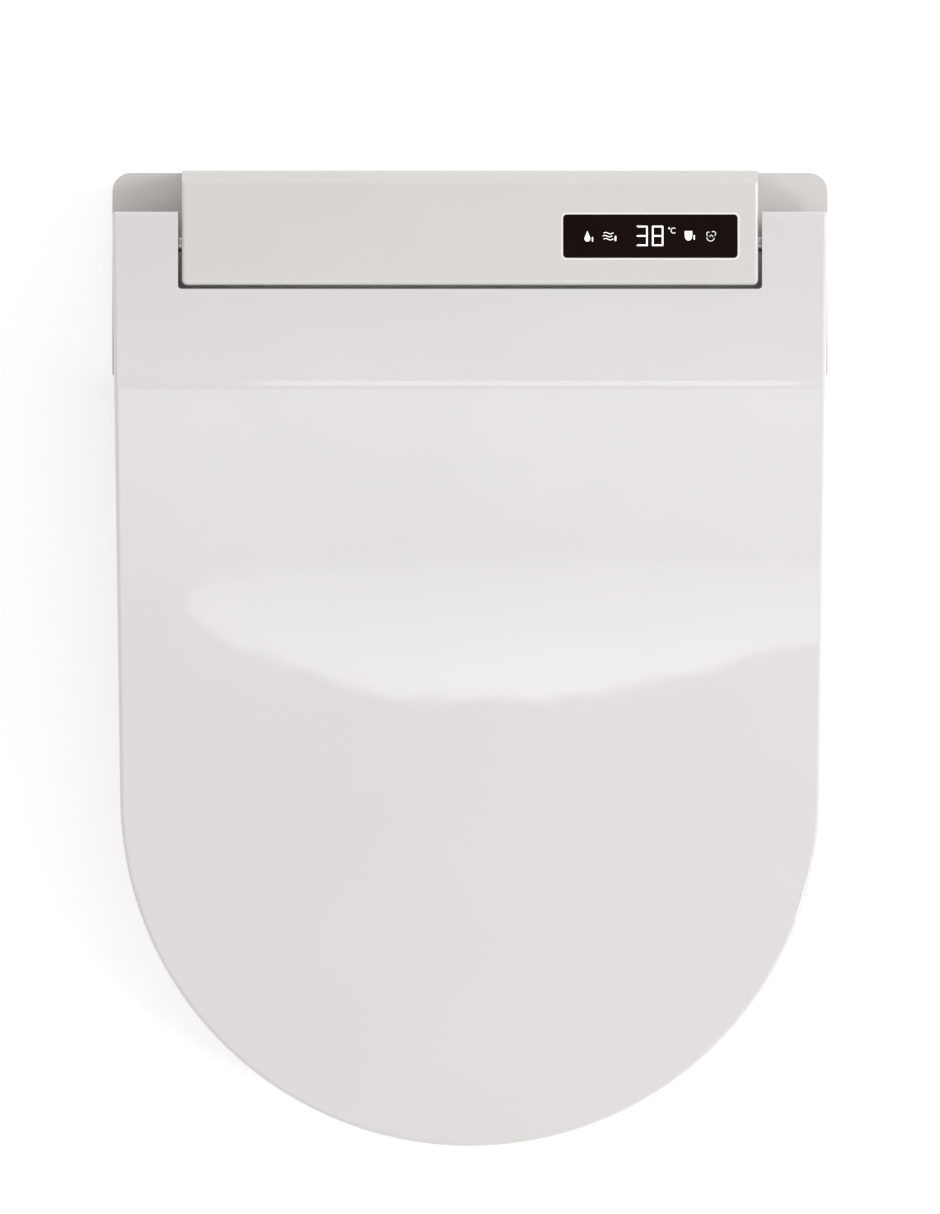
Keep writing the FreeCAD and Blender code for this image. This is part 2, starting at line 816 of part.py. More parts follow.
def block_profile(inset, low):
    """Side view of the raised middle: a low step under the lid, then the visible block."""
    return [
        (f"body_front + {inset}", low), (f"body_front + {inset}", f"step_top - {inset}"),
        (f"block_front + {inset}", f"step_top - {inset}"),
        (f"block_front + {inset}", f"lid_top - {inset}"),
        (f"body_rear - block_bevel - 0.4 * {inset}", f"lid_top - {inset}"),
        (f"body_rear - {inset}", f"lid_top - block_bevel - 0.4 * {inset}"),
        (f"body_rear - {inset}", low),
    ]


def cover_bosses(low, high, radius, name):
    rods = []
    for number, (x, y) in enumerate((("screw_x", "screw_front"), ("-screw_x", "screw_front"),
                                     ("screw_x", "screw_rear"), ("-screw_x", "screw_rear"))):
        rods.append(rod(f"{name}_{number}", "z", (x, y, low), radius, f"{high} - {low}"))
    return rods


def upper_cover():
    decks = solid("cover_decks", "XY", [body_outline("0")], "seam_z", "deck_top")
    step = block("cover_step", ("-block_half", "block_half"), ("body_front", "body_rear"),
                 ("seam_z", "step_top"))
    plan = solid("cover_block_plan", "XY", [[
        ("block_half", "block_front + block_corner"),
        ("block_half", "body_rear"),
        ("-block_half", "body_rear"),
        ("-block_half", "block_front + block_corner", "block_corner - block_half",
         "block_front + block_corner", 1),
        ("block_corner - block_half", "block_front"),
        ("block_half - block_corner", "block_front", "block_half - block_corner",
         "block_front + block_corner", 1),
    ]], "step_top - 5", "lid_top + 5")
    side = solid("cover_block_side", "YZ", [block_profile("0", "seam_z")],
                 "-block_half - 5", "block_half + 5")
    raised = common("cover_raised", plan, side)
    top = size("lid_top")
    rear = size("body_rear - block_bevel")

    def rim(edge):
        return rests_at(edge, top) and edge.BoundBox.YMin < rear - 0.01

    softened = soften("cover_softened", raised, "block_round", rim)
    whole = join("cover_whole", decks, step, softened)
    deck_room = solid("cover_deck_room", "XY", [body_outline("shell")],
                      "seam_z - 1", "deck_top - shell")
    block_room = solid("cover_block_room", "YZ", [block_profile("shell", "seam_z - 1")],
                       "shell - block_half", "block_half - shell")
    shell = cut("cover_shell", whole, deck_room, block_room)
    bosses = cover_bosses("seam_z", "(deck_top - 1)", "boss_r", "cover_boss")
    bossed = join("cover_bossed", shell, *bosses)
    holes = cover_bosses("(seam_z - 1)", "screw_top", "screw_r", "cover_pilot")
    display = solid("cover_display_hole", "XY",
                    [rounded_rectangle(*display_area("bezel_rim"),
                                       "(display_corner + bezel_rim)")],
                    "step_top - 10", "lid_top + 10")
    bush = rod("cover_bush_hole", "x", ("-block_half - 5", "axis_y", "axis_z"), "bush_r",
               "2 * block_half + 10")
    gland = rod("cover_gland_hole", "y", ("gland_x", "body_rear - 20", "gland_z"), "gland_r", "40")
    passage = block("cover_nose_passage", ("nose_low_x + shell", "nose_high_x - shell"),
                    ("body_front - 2", "body_front + shell + 1"), ("seam_z - 1", "seam_z + 3.5"))
    return keep("upper_cover", cut("upper_cover", bossed, *holes, display, bush, gland, passage))


def display_area(grow):
    """The window's ends in x and in y, grown all round."""
    return ((f"display_x - display_wide / 2 - {grow}", f"display_x + display_wide / 2 + {grow}"),
            (f"display_y - display_deep / 2 - {grow}", f"display_y + display_deep / 2 + {grow}"))


def display_parts():
    frame = [rounded_rectangle(*display_area("bezel_rim"), "(display_corner + bezel_rim)"),
             rounded_rectangle(*display_area("0"), "display_corner")]
    keep("display_bezel", solid("display_bezel", "XY", frame, "lid_top - shell - 1", "lid_top"))
    keep("display_window", solid("display_window", "XY", frame[1:],
                                 "lid_top - window_thick", "lid_top"))
    low = "lid_top - window_thick - module_thick"
    keep("display_module", block("display_module", *display_area("-1"),
                                 (low, "lid_top - window_thick")))
    keep("display_board", block("display_board", *display_area("3"),
                                (f"{low} - board_thick", low)))


def sloping_box(name, x, low, high, y):
    """A box between two planes parallel to the nozzle's line.  Low and high are heights where
    y is the tip's."""
    rise = "tan(slope * 1 deg)"
    return solid(name, "YZ", [[
        (y[0], f"{low} + ({y[0]} - tip_y) * {rise}"), (y[1], f"{low} + ({y[1]} - tip_y) * {rise}"),
        (y[1], f"{high} + ({y[1]} - tip_y) * {rise}"), (y[0], f"{high} + ({y[0]} - tip_y) * {rise}"),
    ]], x[0], x[1])


def lower_housing():
    tray = solid("base_tray", "XY", [body_outline("0")], "body_low", "seam_z")
    tray_room = solid("base_tray_room", "XY", [body_outline("shell")],
                      "body_low + shell", "seam_z + 1")
    rise = "tan(slope * 1 deg)"
    nose = solid("base_nose", "YZ", [[
        ("body_front", "body_low"), ("nose_front + nose_chamfer", "body_low"),
        ("nose_front", "body_low + nose_chamfer"),
        ("nose_front", f"tip_z + nose_clear + (nose_front - tip_y) * {rise}"),
        ("body_front", f"tip_z + nose_clear + (body_front - tip_y) * {rise}"),
    ]], "nose_low_x", "nose_high_x")
    nose_room = solid("base_nose_room", "YZ", [[
        ("body_front + shell + 1", "body_low + shell"),
        ("nose_front + shell", "body_low + shell"),
        ("nose_front + shell", f"tip_z + nose_clear - shell + (nose_front - tip_y) * {rise}"),
        ("body_front + shell + 1",
         f"tip_z + nose_clear - shell + (body_front + shell + 1 - tip_y) * {rise}"),
    ]], "nose_low_x + shell", "nose_high_x - shell")
    shell = cut("base_shell", join("base_outside", tray, nose), tray_room, nose_room)
    ledge = block("base_ledge", ("-plate_half - shell", "plate_half + shell"),
                  ("plate_front - shell", "plate_rear + shell"),
                  ("body_low", "plate_thick + shell"))
    dome = block("base_dome", ("-ledge_half - shell", "ledge_half + shell"),
                 ("plate_front - shell", "plate_rear + shell"),
                 ("body_low", "recess_top + shell"))
    well = rod("base_well", "z", ("inlet_x", "inlet_y", "body_low"), "well_r + shell",
               "well_top + 2 - body_low")
    bosses = cover_bosses("body_low", "seam_z", "boss_r", "base_boss")
    posts = []
    for number, (x, y) in enumerate((
            ("main_low_x + board_post_in", "main_low_y + board_post_in"),
            ("main_high_x - board_post_in", "main_low_y + board_post_in"),
            ("main_low_x + board_post_in", "main_high_y - board_post_in"),
            ("main_high_x - board_post_in", "main_high_y - board_post_in"))):
        posts.append(rod(f"base_post_{number}", "z", (x, y, "body_low"), "board_post_r",
                         "main_z - body_low"))
    raised = join("base_raised", shell, ledge, dome, well, *bosses, *posts)
    plate_room = block("base_plate_room", ("-plate_half - fit_gap", "plate_half + fit_gap"),
                       ("plate_front - fit_gap", "plate_rear + fit_gap"), ("0", "plate_thick"))
    bolt_room = block("base_bolt_room", ("-ledge_half", "ledge_half"),
                      ("plate_front", "plate_rear"), ("0", "recess_top"))
    well_room = rod("base_well_room", "z", ("inlet_x", "inlet_y", "0"), "well_r", "well_top")
    elbow_hole = rod("base_elbow_hole", "z", ("inlet_x", "inlet_y", "0"), "elbow_r", "60")
    shanks = cover_bosses("0", "(seam_z + 1)", "(screw_r + 0.1)", "base_shank")
    heads = cover_bosses("0", "(body_low + screw_head)", "(screw_head_r + 0.1)", "base_head")
    latch_slot = block("base_latch_slot", ("ledge_half - 2", "body_half - 10"),
                       ("lug_front + lug_deep + latch_gap - fit_gap",
                        "lug_front + lug_deep + latch_gap + tooth_deep + fit_gap"),
                       ("latch_low - fit_gap", "latch_high + fit_gap"))
    button_hole = block("base_button_hole", ("body_half - 10", "body_half + 10"),
                        ("button_front - fit_gap", "button_rear + fit_gap"),
                        ("button_low - fit_gap", "button_high + fit_gap"))
    window = block("base_wand_window", ("-wand_r - wand_window_gap", "wand_r + wand_window_gap"),
                   ("nose_front - 5", "nose_front + wand_window_long"),
                   ("body_low - 5", "tip_z + wand_window_top"))
    mouth = block("base_duct_mouth", ("duct_low_x + duct_wall", "duct_high_x - duct_wall"),
                  ("nose_front - 5", "nose_front + 5"),
                  ("body_low + shell + 1", "duct_z + mouth_top"))
    grille = [block(f"base_grille_{n}", (f"filter_low_x + grille_in + {n} * grille_pitch",
                                         f"filter_low_x + grille_in + {n} * grille_pitch"
                                         " + grille_wide"),
                    ("body_front - 5", "body_front + 8"),
                    ("filter_low_z + grille_low", "seam_z - grille_high")) for n in range(5)]
    return keep("lower_housing", cut(
        "lower_housing", raised, plate_room, bolt_room, well_room, elbow_hole, *shanks, *heads,
        latch_slot, button_hole, window, mouth, *grille))


def base_pads():
    pads = []
    for number, (x, y) in enumerate((("pad_x", "pad_front_y"), ("-pad_x", "pad_front_y"),
                                     ("pad_x", "pad_rear_y"), ("-pad_x", "pad_rear_y"))):
        pads.append(block(f"base_pad_{number}", (f"{x} - pad_half", f"{x} + pad_half"),
                          (f"{y} - pad_half / 2", f"{y} + pad_half / 2"), ("0", "body_low")))
    return keep("base_pads", group("base_pads", pads))


def mounting_plate():
    half = "(slot_long / 2 - slot_r)"

    def slot(x):
        return [
            (f"{x} + {half}", "-slot_r", f"{x} + {half}", "0", 1),
            (f"{x} + {half}", "slot_r"),
            (f"{x} - {half}", "slot_r", f"{x} - {half}", "0", 1),
            (f"{x} - {half}", "-slot_r"),
        ]
    plate = solid("plate_flat", "XY", [
        rectangle(("-plate_half", "plate_half"), ("plate_front", "plate_rear")),
        slot("bolt_spacing / 2"), slot("-bolt_spacing / 2")], "0", "plate_thick")
    lug = block("plate_lug", ("lug_x", "lug_x + lug_wide"),
                ("lug_front", "lug_front + lug_deep"), ("0", "lug_top"))
    return keep("mounting_plate", join("mounting_plate", plate, lug))


def release_latch():
    low = "(lug_front + lug_deep + latch_gap)"
    bar = block("latch_bar", ("lug_x", "body_half - button_deep"),
                (low, f"{low} + tooth_deep"), ("latch_low", "latch_high"))
    tooth = block("latch_tooth", ("lug_x", "lug_x + lug_wide + 1"),
                  (low, f"{low} + tooth_deep"), ("plate_thick + fit_gap", "latch_high"))
    button = block("latch_button", ("body_half - button_deep", "body_half"),
                   ("button_front", "button_rear"), ("button_low", "button_high"))
    return keep("release_latch", join("release_latch", bar, tooth, button))


def cover_screws():
    screws = []
    heads = cover_bosses("body_low", "(body_low + screw_head)", "screw_head_r", "screw_head_part")
    shanks = cover_bosses("(body_low + screw_head - 0.5)", "screw_top", "screw_r", "screw_shank")
    for number, (head, shank) in enumerate(zip(heads, shanks)):
        screws.append(join(f"cover_screw_{number}", head, shank))
    return keep("cover_screws", group("cover_screws", screws))


# ---------------------------------------------------------------- nozzle

def nozzle_parts():
    bore = "wand_r + slide_gap"
    floor = block("guide_block", (f"-({bore}) - guide_wall", f"{bore} + guide_wall"),
                  ("-guide_lip", f"{bore} + guide_wall"), ("guide_from", "guide_to"))
    tab = block("guide_tab", (bore, f"{bore} + guide_wall"),
                ("-rack_pitch_r - tooth_module * pinion_teeth / 2 - guide_tab_down", "0"),
                ("pinion_at - guide_tab_half", "pinion_at + guide_tab_half"))
    room = block("guide_room", (f"-({bore})", bore), ("-10", bore),
                 ("guide_from - 1", "guide_to - guide_wall"))
    feed_hole = rod("guide_feed_hole", "z", ("0", "0", "0"), "feed_r", "200")
    shaft_hole = rod("guide_shaft_hole", "x",
                     ("0", "-rack_pitch_r - tooth_module * pinion_teeth / 2", "pinion_at"),
                     "motor_shaft_r + 1.5", "40")
    channel = slanted(cut("guide_channel", join("guide_solid", floor, tab), room, feed_hole,
                          shaft_hole), "0")
    feet = []
    for end, y, low in (("front", "guide_foot_front_y", "body_low + shell"),
                        ("rear", "guide_foot_rear_y", "recess_top + shell")):
        floor_middle = (f"tip_z + ({y} - tip_y) * tan(slope * 1 deg)"
                        f" - ({bore} + guide_wall / 2) / cos(slope * 1 deg)")
        feet.append(block(f"guide_{end}_foot", ("-guide_foot_wide / 2", "guide_foot_wide / 2"),
                          (f"{y} - guide_foot_deep / 2", f"{y} + guide_foot_deep / 2"),
                          (low, floor_middle)))
    keep("nozzle_guide", join("nozzle_guide", channel, *feet))

    wand = rod("nozzle_wand", "z", ("0", "0", "0"), "wand_r", "wand_long - tip_long", "wand_bore")
    keep("nozzle_wand", slanted(wand, "tip_long"))
    head = turned("tip_head", [
        ("0", "0"), ("wand_r - tip_chamfer", "0"), ("wand_r", "tip_chamfer"),
        ("wand_r", "tip_long"), ("wand_bore", "tip_long"), ("wand_bore", "tip_cap"),
        ("0", "tip_cap")], ("0", "0", "0"))
    jets = [rod(f"tip_jet_{n}", "y", ("0", "-10", z), "jet_r", "10")
            for n, z in enumerate(("jet_front", "jet_rear"))]
    keep("nozzle_tip", slanted(cut("nozzle_tip", head, *jets), "0"))
    keep("feed_tube", slanted(rod("feed_tube", "z", ("0", "0", "0"), "feed_r",
                                  "guide_to + feed_past - feed_from", "feed_r - hose_wall"),
                              "feed_from"))

    module = size("tooth_module")
    teeth = int(size("pinion_teeth"))
    pitch_r = module * teeth / 2
    pitch = math.pi * module
    above, below, slack = 0.8 * module, 1.1 * module, 0.1 * module
    pitch_y = -size("rack_pitch_r")
    half = pitch / 4 - slack / 2
    lean = math.tan(math.radians(20))
    first = math.ceil((size("tip_long") + pitch - size("pinion_at")) / pitch)
    last = math.floor((size("wand_long") - pitch / 2 - size("pinion_at")) / pitch)
    points = [Vector(0, pitch_y + below + 2, size("tip_long")),
              Vector(0, pitch_y + below, size("tip_long"))]
    for number in range(first, last + 1):
        along = size("pinion_at") + number * pitch
        points += [Vector(0, pitch_y + below, along - half - below * lean),
                   Vector(0, pitch_y - above, along - half + above * lean),
                   Vector(0, pitch_y - above, along + half - above * lean),
                   Vector(0, pitch_y + below, along + half + below * lean)]
    points += [Vector(0, pitch_y + below, size("wand_long")),
               Vector(0, pitch_y + below + 2, size("wand_long"))]
    wide = 2 * size("rack_half")
    strip = Part.Face(Part.makePolygon(points + points[:1])).extrude(Vector(wide, 0, 0))
    strip.translate(Vector(-wide / 2, 0, 0))
    rack = doc.addObject("Part::Feature", "wand_rack")
    rack.Shape = strip.cut(Part.makeCylinder(size("wand_r"), 200))
    keep("wand_rack", slanted(rack, "0"))

    base_r = pitch_r * math.cos(math.radians(20))
    root_r, outer_r = pitch_r - below, pitch_r + above

    def lean_at(radius):
        if radius <= base_r:
            return 0
        angle = math.acos(base_r / radius)
        return math.tan(angle) - angle
    flank = [root_r, base_r, pitch_r, outer_r]
    pinion_points = []
    for tooth in range(teeth):
        middle_angle = (tooth + 0.5) * 2 * math.pi / teeth
        sides = [(radius, half / pitch_r + lean_at(pitch_r) - lean_at(radius))
                 for radius in flank]
        for radius, spread in [(r, -a) for r, a in sides] + [(r, a) for r, a in sides[::-1]]:
            angle = middle_angle + spread
            pinion_points.append(Vector(0, radius * math.cos(angle), radius * math.sin(angle)))
    gear = Part.Face(Part.makePolygon(pinion_points + pinion_points[:1]))
    gear = gear.extrude(Vector(wide, 0, 0))
    gear.translate(Vector(-wide / 2, 0, 0))
    shaft = Part.makeCylinder(size("motor_shaft_r"), wide / 2 + size("motor_long"),
                              Vector(0, 0, 0), Vector(1, 0, 0))
    pinion = doc.addObject("Part::Feature", "nozzle_pinion")
    pinion.Shape = gear.fuse(shaft)
    up = "rack_pitch_r + tooth_module * pinion_teeth / 2"
    keep("nozzle_pinion", slanted(pinion, "pinion_at", up))

    start = f"{bore} + guide_wall"
    can = rod("nozzle_motor_can", "x", (start, "0", "0"), "motor_r", "motor_long")
    socket = rod("nozzle_motor_socket", "x", (f"{start} - 1", "0", "0"),
                 "motor_shaft_r + running_gap", "motor_long - 2")
    keep("nozzle_motor", slanted(cut("nozzle_motor", can, socket), "pinion_at", up))


# ---------------------------------------------------------------- dryer

def dryer_parts():
    where = ("blower_x", "blower_y")
    inside = "(blower_r - blower_wall)"
    rise = "tan(slope * 1 deg)"
    half = "(duct_high / 2 / cos(slope * 1 deg))"
    case = rod("blower_case", "z", (*where, "blower_low"), "blower_r", "blower_high - blower_low")
    spout = block("blower_spout", ("duct_low_x", "duct_high_x"), ("duct_rear", "blower_y"),
                  ("blower_low + 1", f"duct_z + {half} + spout_roof + (duct_rear - tip_y) * {rise}"))
    legs = [rod(f"blower_leg_{n}", "z", (x, y, "recess_top + shell"),
                "blower_leg_r",
                "blower_low + 1 - recess_top - shell")
            for n, (x, y) in enumerate((("blower_x - blower_leg_out", "blower_y + 10"),
                                        ("blower_x + blower_leg_out", "blower_y + 10"),
                                        ("blower_x + 6", "blower_y - 24")))]
    room = rod("blower_room", "z", (*where, "blower_low + blower_wall"), inside, "40")
    throat = block("blower_throat", ("duct_low_x + duct_wall", "duct_high_x - duct_wall"),
                   ("duct_rear - 1", "blower_y"),
                   (f"duct_z - {half} + duct_wall + (duct_rear - tip_y) * {rise}",
                    f"duct_z + {half} - duct_wall + (duct_rear - tip_y) * {rise}"))
    eye = rod("blower_eye_hole", "z", (*where, "blower_low - 1"), "blower_eye", "10")
    keep("blower_housing", cut("blower_housing", join("blower_solid", case, spout, *legs),
                               room, throat, eye))
    lid = rod("blower_lid_disc", "z", (*where, "blower_high"), "blower_r", "blower_wall")
    lid_hole = rod("blower_lid_hole", "z", (*where, "blower_high - 1"), "motor_shaft_r + 1", "10")
    keep("blower_lid", cut("blower_lid", lid, lid_hole))
    can = rod("blower_motor_can", "z", (*where, "blower_high + blower_wall"), "blower_motor_r",
              "blower_motor_high")
    socket = rod("blower_motor_socket", "z", (*where, "blower_high"),
                 "motor_shaft_r + running_gap", "blower_motor_high - 2")
    keep("blower_motor", cut("blower_motor", can, socket))

    low = size("blower_low + blower_wall + impeller_gap")
    radius = size("impeller_r")
    high = size("impeller_high")
    wheel = Part.makeCylinder(radius, size("impeller_disc"), Vector(0, 0, low))
    wheel = wheel.fuse(Part.makeCylinder(size("impeller_hub_r"), high, Vector(0, 0, low)))
    wheel = wheel.fuse(Part.makeCylinder(size("motor_shaft_r"),
                                         size("blower_high + blower_motor_high - 4") - low,
                                         Vector(0, 0, low)))
    blades = []
    count = int(size("impeller_blades"))
    deep = size("impeller_blade_deep")
    for number in range(count):
        blade = Part.makeBox(1, deep, high, Vector(-0.5, radius - deep - 1, low + 1))
        blade.rotate(Vector(0, radius - deep / 2 - 1, 0), Vector(0, 0, 1),
                     size("impeller_blade_lean"))
        blade.rotate(Vector(), Vector(0, 0, 1), number * 360 / count)
        blades.append(blade)
    impeller = doc.addObject("Part::Feature", "blower_impeller")
    impeller.Shape = wheel.fuse(blades).common(Part.makeCylinder(radius, 100))
    impeller.setExpression("Placement.Base.x", cells("blower_x"))
    impeller.setExpression("Placement.Base.y", cells("blower_y"))
    keep("blower_impeller", impeller)

    front = "(nose_front + shell)"
    outer = sloping_box("duct_outer", ("duct_low_x", "duct_high_x"), f"duct_z - {half}",
                        f"duct_z + {half}", (front, "duct_rear"))
    inner = sloping_box("duct_inner", ("duct_low_x + duct_wall", "duct_high_x - duct_wall"),
                        f"duct_z - {half} + duct_wall", f"duct_z + {half} - duct_wall",
                        (f"({front} - 1)", "(duct_rear + 1)"))
    keep("dryer_duct", cut("dryer_duct", outer, inner))
    plate = sloping_box("dryer_mica", ("duct_low_x + duct_wall", "duct_high_x - duct_wall"),
                        "duct_z - mica_half", "duct_z + mica_half", ("mica_front", "mica_rear"))
    ribs = [sloping_box(f"dryer_rib_{n}", (f"duct_low_x + rib_in + {n} * rib_pitch",
                                           f"duct_low_x + rib_in + {n} * rib_pitch + rib_wide"),
                        "duct_z - rib_half", "duct_z + rib_half", ("rib_front", "rib_rear"))
            for n in range(5)]
    keep("dryer_heater", join("dryer_heater", plate, *ribs))
    leaf = block("flap_leaf", ("duct_low_x + flap_side_gap", "duct_high_x - flap_side_gap"),
                 ("nose_front - fit_gap - flap_thick", "nose_front - fit_gap"),
                 ("body_low + flap_low", "body_low + flap_low + flap_high"))
    barrel = rod("flap_barrel", "x", ("duct_low_x - 1", "nose_front - fit_gap - flap_thick / 2",
                                      "body_low + flap_low + flap_high"), "flap_thick / 2",
                 "duct_high_x - duct_low_x + 2")
    keep("dryer_flap", join("dryer_flap", leaf, barrel))


# ---------------------------------------------------------------- deodoriser

def deodoriser_parts():
    x = ("filter_low_x", "filter_high_x")
    z = ("filter_low_z", "filter_high_z")
    inner_x = ("filter_low_x + filter_wall", "filter_high_x - filter_wall")
    inner_z = ("filter_low_z + filter_wall", "filter_high_z - filter_wall")
    middle_x = "(filter_low_x + filter_high_x) / 2"
    middle_z = "(filter_low_z + filter_high_z) / 2"
    outer = block("filter_outer", x, ("filter_low_y", "filter_high_y"), z)
    foot = block("filter_foot", ("filter_low_x + 3", "filter_high_x - 3"),
                 ("filter_low_y + 3", "plate_front - shell - 6"), ("body_low + shell",
                                                                   "filter_low_z + 1"))
    room = block("filter_room", inner_x, ("filter_low_y - 1", "filter_high_y - filter_wall"),
                 inner_z)
    vent = rod("filter_vent", "y", (middle_x, "filter_high_y - 5", middle_z), "fan_r - 2", "10")
    keep("deodoriser_case", cut("deodoriser_case", join("filter_solid", outer, foot), room, vent))
    brick = block("carbon_brick", inner_x, ("filter_low_y + 3", "filter_high_y - filter_wall"),
                  inner_z)
    keep("carbon_filter", brick)
    frame = block("fan_frame_block", x, ("filter_high_y", "filter_high_y + fan_deep"), z)
    tube = rod("fan_frame_tube", "y", (middle_x, "filter_high_y - 1", middle_z), "fan_r",
               "fan_deep + 2")
    bar = block("fan_frame_bar", x, ("filter_high_y + fan_deep - fan_bar_deep", "filter_high_y + fan_deep"),
                (f"{middle_z} - fan_bar_half", f"{middle_z} + fan_bar_half"))
    bar_hole = rod("fan_bar_hole", "y", (middle_x, "filter_high_y", middle_z),
                   "motor_shaft_r + 0.7", "30")
    holed = cut("fan_frame_holed", frame, tube)
    keep("deodoriser_fan_frame", cut("deodoriser_fan_frame",
                                     join("fan_frame_barred", holed, bar), bar_hole))
    can = rod("fan_motor_can", "y", (middle_x, "filter_high_y + fan_deep", middle_z),
              "fan_motor_r", "fan_motor_long")
    socket = rod("fan_motor_socket", "y", (middle_x, "filter_high_y + fan_deep - 1", middle_z),
                 "motor_shaft_r + running_gap", "fan_motor_long - 1")
    keep("deodoriser_motor", cut("deodoriser_motor", can, socket))
    deep = size("fan_deep")
    tip = size("fan_r - fan_tip_gap")
    rotor = Part.makeCylinder(size("fan_hub_r"), size("fan_hub_long"), Vector(0, 2, 0),
                              Vector(0, 1, 0))
    rotor = rotor.fuse(Part.makeCylinder(size("motor_shaft_r"), deep + 6, Vector(0, 3, 0),
                                         Vector(0, 1, 0)))
    blades = []
    count = int(size("fan_blades"))
    for number in range(count):
        blade = Part.makeBox(8, 1, tip - 3, Vector(-4, 5.5, 3.5))
        blade.rotate(Vector(0, 6, 0), Vector(0, 0, 1), size("fan_blade_lean"))
        blade.rotate(Vector(), Vector(0, 1, 0), number * 360 / count)
        blades.append(blade)
    rotor = rotor.fuse(blades).common(Part.makeCylinder(tip, 60, Vector(), Vector(0, 1, 0)))
    item = doc.addObject("Part::Feature", "deodoriser_rotor")
    item.Shape = rotor
    for letter, text in zip("xyz", (middle_x, "filter_high_y", middle_z)):
        item.setExpression("Placement.Base." + letter, cells(text))
    keep("deodoriser_rotor", item)


# ---------------------------------------------------------------- water

def water_parts():
    x = ("tank_low_x", "tank_high_x")
    y = ("tank_low_y", "tank_high_y")
    outer = block("tank_outer", x, y, ("tank_low_z", "tank_high_z"))
    right_foot = ("tank_low_x + tank_foot_in", "tank_low_x + tank_foot_in + tank_foot_wide")
    left_foot = ("tank_high_x - tank_foot_in - tank_foot_wide", "tank_high_x - tank_foot_in")
    feet = [block(f"tank_foot_{n}", span, ("tank_low_y + 3", "tank_high_y - 1"),
                  ("body_low + shell", "tank_low_z + 1"))
            for n, span in enumerate((right_foot, left_foot))]
    room = block("tank_room", ("tank_low_x + tank_wall", "tank_high_x - tank_wall"),
                 ("tank_low_y + tank_wall", "tank_high_y - tank_wall"),
                 ("tank_low_z + tank_wall", "tank_high_z + 1"))
    ports = [rod(f"tank_port_{n}", "x", (start, "tank_port_y", height), "feed_r - hose_wall", "4")
             for n, (start, height) in enumerate((("tank_low_x - 1", "tank_inlet_z"),
                                                  ("tank_high_x - 3", "tank_outlet_z")))]
    keep("heater_tank", cut("heater_tank", join("tank_solid", outer, *feet), room, *ports))
    keep("tank_cap", block("tank_cap", x, y, ("tank_high_z", "tank_high_z + tank_cap")))
    rods = [rod(f"tank_element_{n}", "z", (place, "(tank_low_y + tank_high_y) / 2",
                                           "tank_low_z + element_up"), "element_r",
                "tank_high_z - tank_low_z - element_up")
            for n, place in enumerate(("tank_low_x + element_in", "tank_high_x - element_in"))]
    keep("tank_elements", group("tank_elements", rods))

    at = ("inlet_x", "inlet_y")
    spigot = rod("inlet_spigot", "z", (*at, "inlet_low"), "inlet_r", "well_top - inlet_low + 1")
    barrel = rod("inlet_barrel", "z", (*at, "well_top"), "elbow_r", "elbow_top - well_top")
    arm = rod("inlet_arm", "x", ("inlet_x + 6", "inlet_y", "elbow_arm_z"), "elbow_arm_r",
              "valve_low_x - inlet_x - 6")
    drill = rod("inlet_drill", "z", (*at, "inlet_low - 1"), "strainer_r",
                "elbow_top - inlet_low - 4")
    cross = rod("inlet_cross", "x", ("inlet_x", "inlet_y", "elbow_arm_z"), "elbow_bore_r", "60")
    keep("inlet_elbow", cut("inlet_elbow", join("inlet_solid", spigot, barrel, arm), drill, cross))
    keep("inlet_strainer", rod("inlet_strainer", "z", (*at, "strainer_z"), "strainer_r",
                               "strainer_thick"))
    valve_x = ("valve_low_x", "valve_high_x")
    middle_x = "(valve_low_x + valve_high_x) / 2"
    body = block("valve_block", valve_x, ("inlet_y - valve_half", "inlet_y + valve_half"),
                 ("valve_low_z", "valve_high_z"))
    foot = block("valve_foot", ("valve_low_x + 2", "valve_high_x - 2"),
                 ("inlet_y - valve_foot_half", "inlet_y + valve_foot_half"),
                 ("body_low + shell", "valve_low_z + 1"))
    seat = rod("valve_seat", "z", (middle_x, "inlet_y", "valve_low_z + valve_seat_up"),
               "plunger_r - 0.5", "40")
    keep("inlet_valve", cut("inlet_valve", join("valve_solid", body, foot), seat))
    coil = rod("coil_can", "z", (middle_x, "inlet_y", "valve_high_z"), "coil_r", "coil_high")
    bore = rod("coil_bore", "z", (middle_x, "inlet_y", "valve_high_z - 1"),
               "plunger_r + running_gap", "coil_high - 1")
    keep("valve_coil", cut("valve_coil", coil, bore))
    rest = "(valve_high_z + fit_gap)"
    keep("valve_plunger", rod("valve_plunger", "z", (middle_x, "inlet_y", rest), "plunger_r",
                              "plunger_long"))
    top = size("valve_high_z + coil_high - 2")
    low = size(f"{rest} + plunger_long")
    wire = size("spring_wire")
    helix = Part.makeHelix(size("spring_pitch"), top - low - 2 * wire, size("spring_r"))
    ring = Part.Wire(Part.makeCircle(wire, Vector(size("spring_r"), 0, 0), Vector(0, 1, 0)))
    spring = doc.addObject("Part::Feature", "valve_spring")
    spring.Shape = Part.Wire(helix).makePipeShell([ring], True, True)
    spring.setExpression("Placement.Base.x", cells(middle_x))
    spring.setExpression("Placement.Base.y", cells("inlet_y"))
    spring.setExpression("Placement.Base.z", cells(f"{rest} + plunger_long + spring_wire"))
    keep("valve_spring", spring)

    sensor = block("flow_block", valve_x, ("flow_low_y", "flow_high_y"),
                   ("body_low + shell", "valve_low_z"))
    cap = rod("flow_cap", "z", (middle_x, "(flow_low_y + flow_high_y) / 2", "valve_low_z - 1"),
              "flow_cap_r", "4")
    keep("flow_sensor", join("flow_sensor", sensor, cap))

